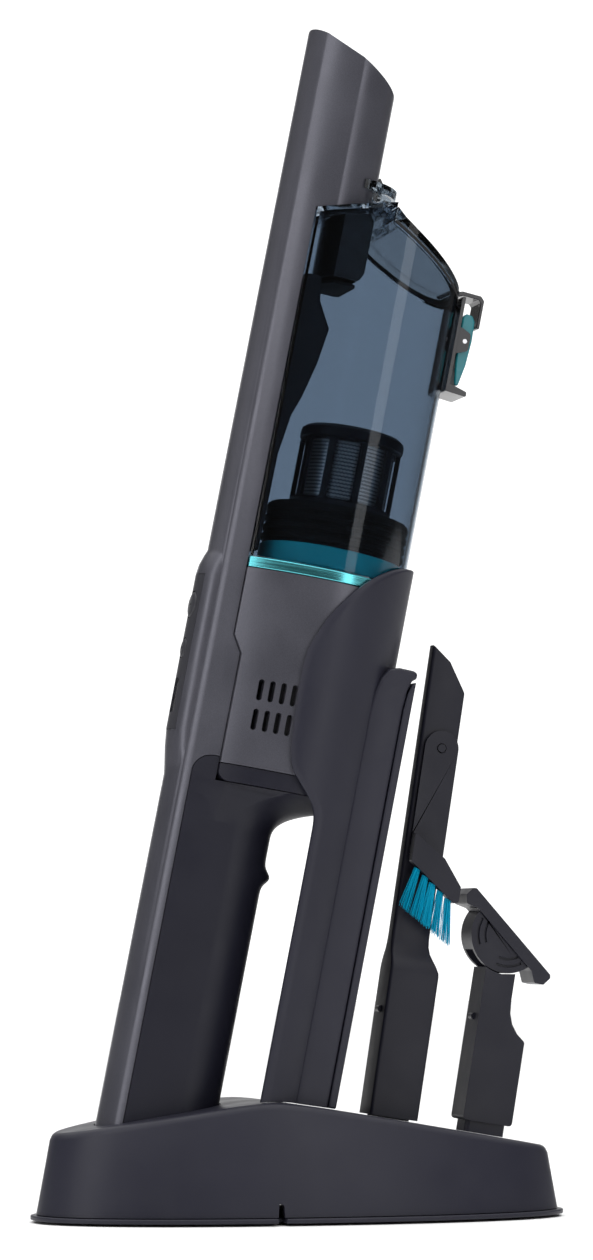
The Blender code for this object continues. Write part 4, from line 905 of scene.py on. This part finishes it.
def make_crevice_tool():
    outer = ((38.6, -9.6, 9.8, 8.0), (94.0, -9.8, 9.8, 8.0), (95.5, -9.8, 9.6, 7.9), (98.0, -9.8, 8.4, 7.2),
             (100.2, -9.9, 7.2, 5.8), (102.4, -9.9, 6.1, 4.5), (105.0, -9.9, 5.4, 3.8),
             (108.0, -9.9, 5.2, 3.5), (142.0, -10.1, 5.0, 3.3), (226.0, -10.4, 5.0, 3.0))
    inner = ((30.0, -8.0, 8.2, 6.4), (93.0, -8.2, 8.2, 6.4), (104.0, -8.6, 4.0, 2.3),
             (142.0, -8.8, 3.6, 1.9), (230.0, -9.2, 3.8, 1.7))
    nozzle = shape(loft(nozzle_rings(outer, 1.2)), CREVICE)
    tip = [(-14, 223.6), (-10.4, 221.0), (-2.8, 215.5), (4.9, 204.2), (8.0, 199.6), (20, 199), (20, 240),
           (-14, 240)]
    clip = shape(cylinder(1.3, -2.2, 2.2, (-9.8, 79), "y", 24), CREVICE)
    carve(nozzle, "UNION", clip)
    carve(nozzle, "DIFFERENCE", shape(loft(nozzle_rings(inner, 1.0)), CREVICE),
          shape(extrude(tip, -20, 20, "y"), CREVICE), shape(cylinder(1.9, -20, 20, PIVOT, "y", 32), CREVICE))
    finish(nozzle, "crevice_nozzle_fine", BLACK, "black_plastic", "crevice_tool", "crevice_nozzle", edge=0.3)

    left, right = -8.6, 5.0
    plate = [(left, 146.5), (right, 138.6)] + arc(PIVOT, (right - left) / 2, 0, 180, 32)
    arm = shape(extrude(plate, -5.3, -3.9, "y"), CREVICE)
    neck = [(left, 147.4), (left, 139.5), (right, 134.5), (right, 139.4)]
    holder = fillet([(left - 0.6, 147.4), (left - 0.6, 136.4), (9.9, 122.8), (11.9, 123.6), (12.0, 129.4),
                     (right - 0.8, 139.0)], 0.8)
    carve(arm, "UNION", shape(extrude(neck, -9.0, -4.1, "y"), CREVICE),
          shape(extrude(holder, -12.0, -8.3, "y"), CREVICE))
    carve(arm, "DIFFERENCE", shape(cylinder(1.9, -20, 20, PIVOT, "y", 32), CREVICE))
    finish(arm, "brush_arm_fine", BLACK, "black_plastic", "brush", "brush_arm", edge=0.35)


def add_bristle(bm, root, tip, width):
    """One tapered nylon bristle with a four-sided section."""
    axis = (tip - root).normalized()
    side = axis.cross(Vector((0, 1, 0))).normalized() * width
    front = Vector((0, 1, 0)) * width
    base = [bm.verts.new(root + offset) for offset in (side, front, -side, -front)]
    end = [bm.verts.new(tip + offset * 0.5) for offset in (side, front, -side, -front)]
    for i in range(4):
        j = (i + 1) % 4
        bm.faces.new((base[i], base[j], end[j], end[i]))
    bm.faces.new(base)
    bm.faces.new(end)


def make_bristles():
    """Five tufts in a row; each fans out from its hole to a nearly straight trimmed edge."""
    random.seed(7)
    bm = bmesh.new()
    start, end = Vector((-7.6, 0, 135.0)), Vector((9.6, 0, 122.9))
    tip_start, tip_end = Vector((-11.0, 0, 119.4)), Vector((11.2, 0, 106.6))
    tufts = 5
    for tuft in range(tufts):
        t = (tuft + 0.5) / tufts
        hole = start.lerp(end, t)
        for _ in range(46):
            angle = random.uniform(0, 2 * math.pi)
            reach = math.sqrt(random.random())
            across, deep = reach * math.cos(angle), reach * math.sin(angle)
            root = hole + Vector((1.25 * across, -10.1 + 1.0 * deep, -0.6 * across))
            spot = t + across * 0.5 / tufts * 1.12
            tip = tip_start.lerp(tip_end, spot) + Vector((0, -10.1 + 1.5 * deep, random.uniform(-0.7, 0.9)))
            add_bristle(bm, root, tip, 0.17)
    finish(shape(bm, CREVICE), "brush_bristles_fine", BRISTLE, "blue_bristle", "brush", "brush_bristles",
           edge=0)


SWIVEL = (-2.8, 108.8)
SEAT_R = 15.3
BAR_TILT = -39.0


def tilted(points):
    c, s = math.cos(math.radians(BAR_TILT)), math.sin(math.radians(BAR_TILT))
    return [(SWIVEL[0] + u * c - v * s, SWIVEL[1] + u * s + v * c) for u, v in points]


def make_upholstery_tool():
    side = [(-9.9, 36.2), (10.0, 36.2), (10.0, 69.0), (6.6, 71.6), (4.0, 75.0), (2.6, 79.0), (2.2, 84.0),
            (2.2, 100), (-9.9, 100)]
    neck = shape(extrude(fillet(side, 1.6), -7.9, 7.9, "y"), NOZZLE)
    clip = shape(cylinder(1.3, -2.2, 2.2, (-9.9, 76), "y", 24), NOZZLE)
    carve(neck, "UNION", clip)
    carve(neck, "DIFFERENCE", shape(cylinder(SEAT_R, -20, 20, SWIVEL, "y", 128), NOZZLE),
          shape(extrude(rounded_rectangle(-8.4, 8.5, -6.8, 6.8, 1.0), 30, 66), NOZZLE),
          shape(extrude(rounded_rectangle(-8.2, 0.6, -6.2, 6.2, 1.0), 60, 110), NOZZLE))
    finish(neck, "upholstery_neck_fine", BLACK, "black_plastic", "upholstery_tool", "upholstery_neck",
           edge=0.6)

    bar = fillet(tilted([(-23.0, -2.4), (-23.0, 1.4), (-22.0, 2.3), (22.6, 2.3), (23.6, 1.4), (23.6, -2.4),
                         (20.6, -4.6), (16.4, -2.4), (-16.0, -2.4), (-20.2, -4.6)]), 0.7)
    head = shape(extrude(bar, -7.9, 7.9, "y"), NOZZLE)
    disc = tilted(arc((0, 0), 14.8, 180, 360, 64) + [(14.8, 1.0), (-14.8, 1.0)])
    carve(head, "UNION", shape(extrude(disc, -6.8, 6.8, "y"), NOZZLE))
    tools = [extrude(tilted([(-20.5, -1.0), (21.0, -1.0), (21.0, 5.0), (-20.5, 5.0)]), -6.2, 6.2, "y"),
             extrude(tilted([(-9.0, -9.5), (9.0, -9.5), (9.0, 2.0), (-9.0, 2.0)]), -5.2, 5.2, "y"),
             extrude(tilted([(-5.0, -20.0), (5.0, -20.0), (5.0, -5.0), (-5.0, -5.0)]), -4.6, 4.6, "y")]
    for radius in (12.6, 9.8):
        for first, last in ((196, 246), (294, 344)):
            band = arc((0, 0), radius, first, last, 16) + arc((0, 0), radius - 1.0, last, first, 16)
            for low, high in ((-9, -5.9), (5.9, 9)):
                tools.append(extrude(tilted(band), low, high, "y"))
    carve(head, "DIFFERENCE", *[shape(tool, NOZZLE) for tool in tools])
    finish(head, "upholstery_head_fine", BLACK, "black_plastic", "nozzle_head", "upholstery_head", edge=0.3)


# ------------------------------------------------------------------ CAD pieces that keep their shape

KEPT = {
    "battery_indicator": GLOSS_BLACK,
    "control_board": BOARD, "handle_end_cap": BLACK, "charge_contact_1": BRASS, "charge_contact_2": BRASS,
    "battery_cell_1": CELL, "battery_cell_2": CELL, "motor_can": STEEL, "motor_mount": RUBBER,
    "motor_shaft": STEEL, "impeller": STEEL, "filter_cartridge": PAPER, "lid_hinge_pin": STEEL,
    "latch_pin": STEEL, "base_screw_1": STEEL, "base_screw_2": STEEL, "rubber_foot_1": RUBBER,
    "rubber_foot_2": RUBBER, "rubber_foot_3": RUBBER, "rubber_foot_4": RUBBER, "contact_block": BLACK,
    "charge_pin_1": BRASS, "charge_pin_2": BRASS, "dc_jack": BLACK, "crevice_post": CHARCOAL,
    "upholstery_post": CHARCOAL, "brush_pivot": BLACK,
}


def dress_kept_nodes():
    for name, material in KEPT.items():
        for place in NODES[name].material_slots:
            place.material = material


add_camera()
add_studio()
make_spine()
make_controls()
make_grip()
make_motor_housing()
make_filter()
make_cup()
make_duct()
make_lid()
make_release_tab()
make_latch()
make_base()
make_arm()
make_crevice_tool()
make_bristles()
make_upholstery_tool()
dress_kept_nodes()
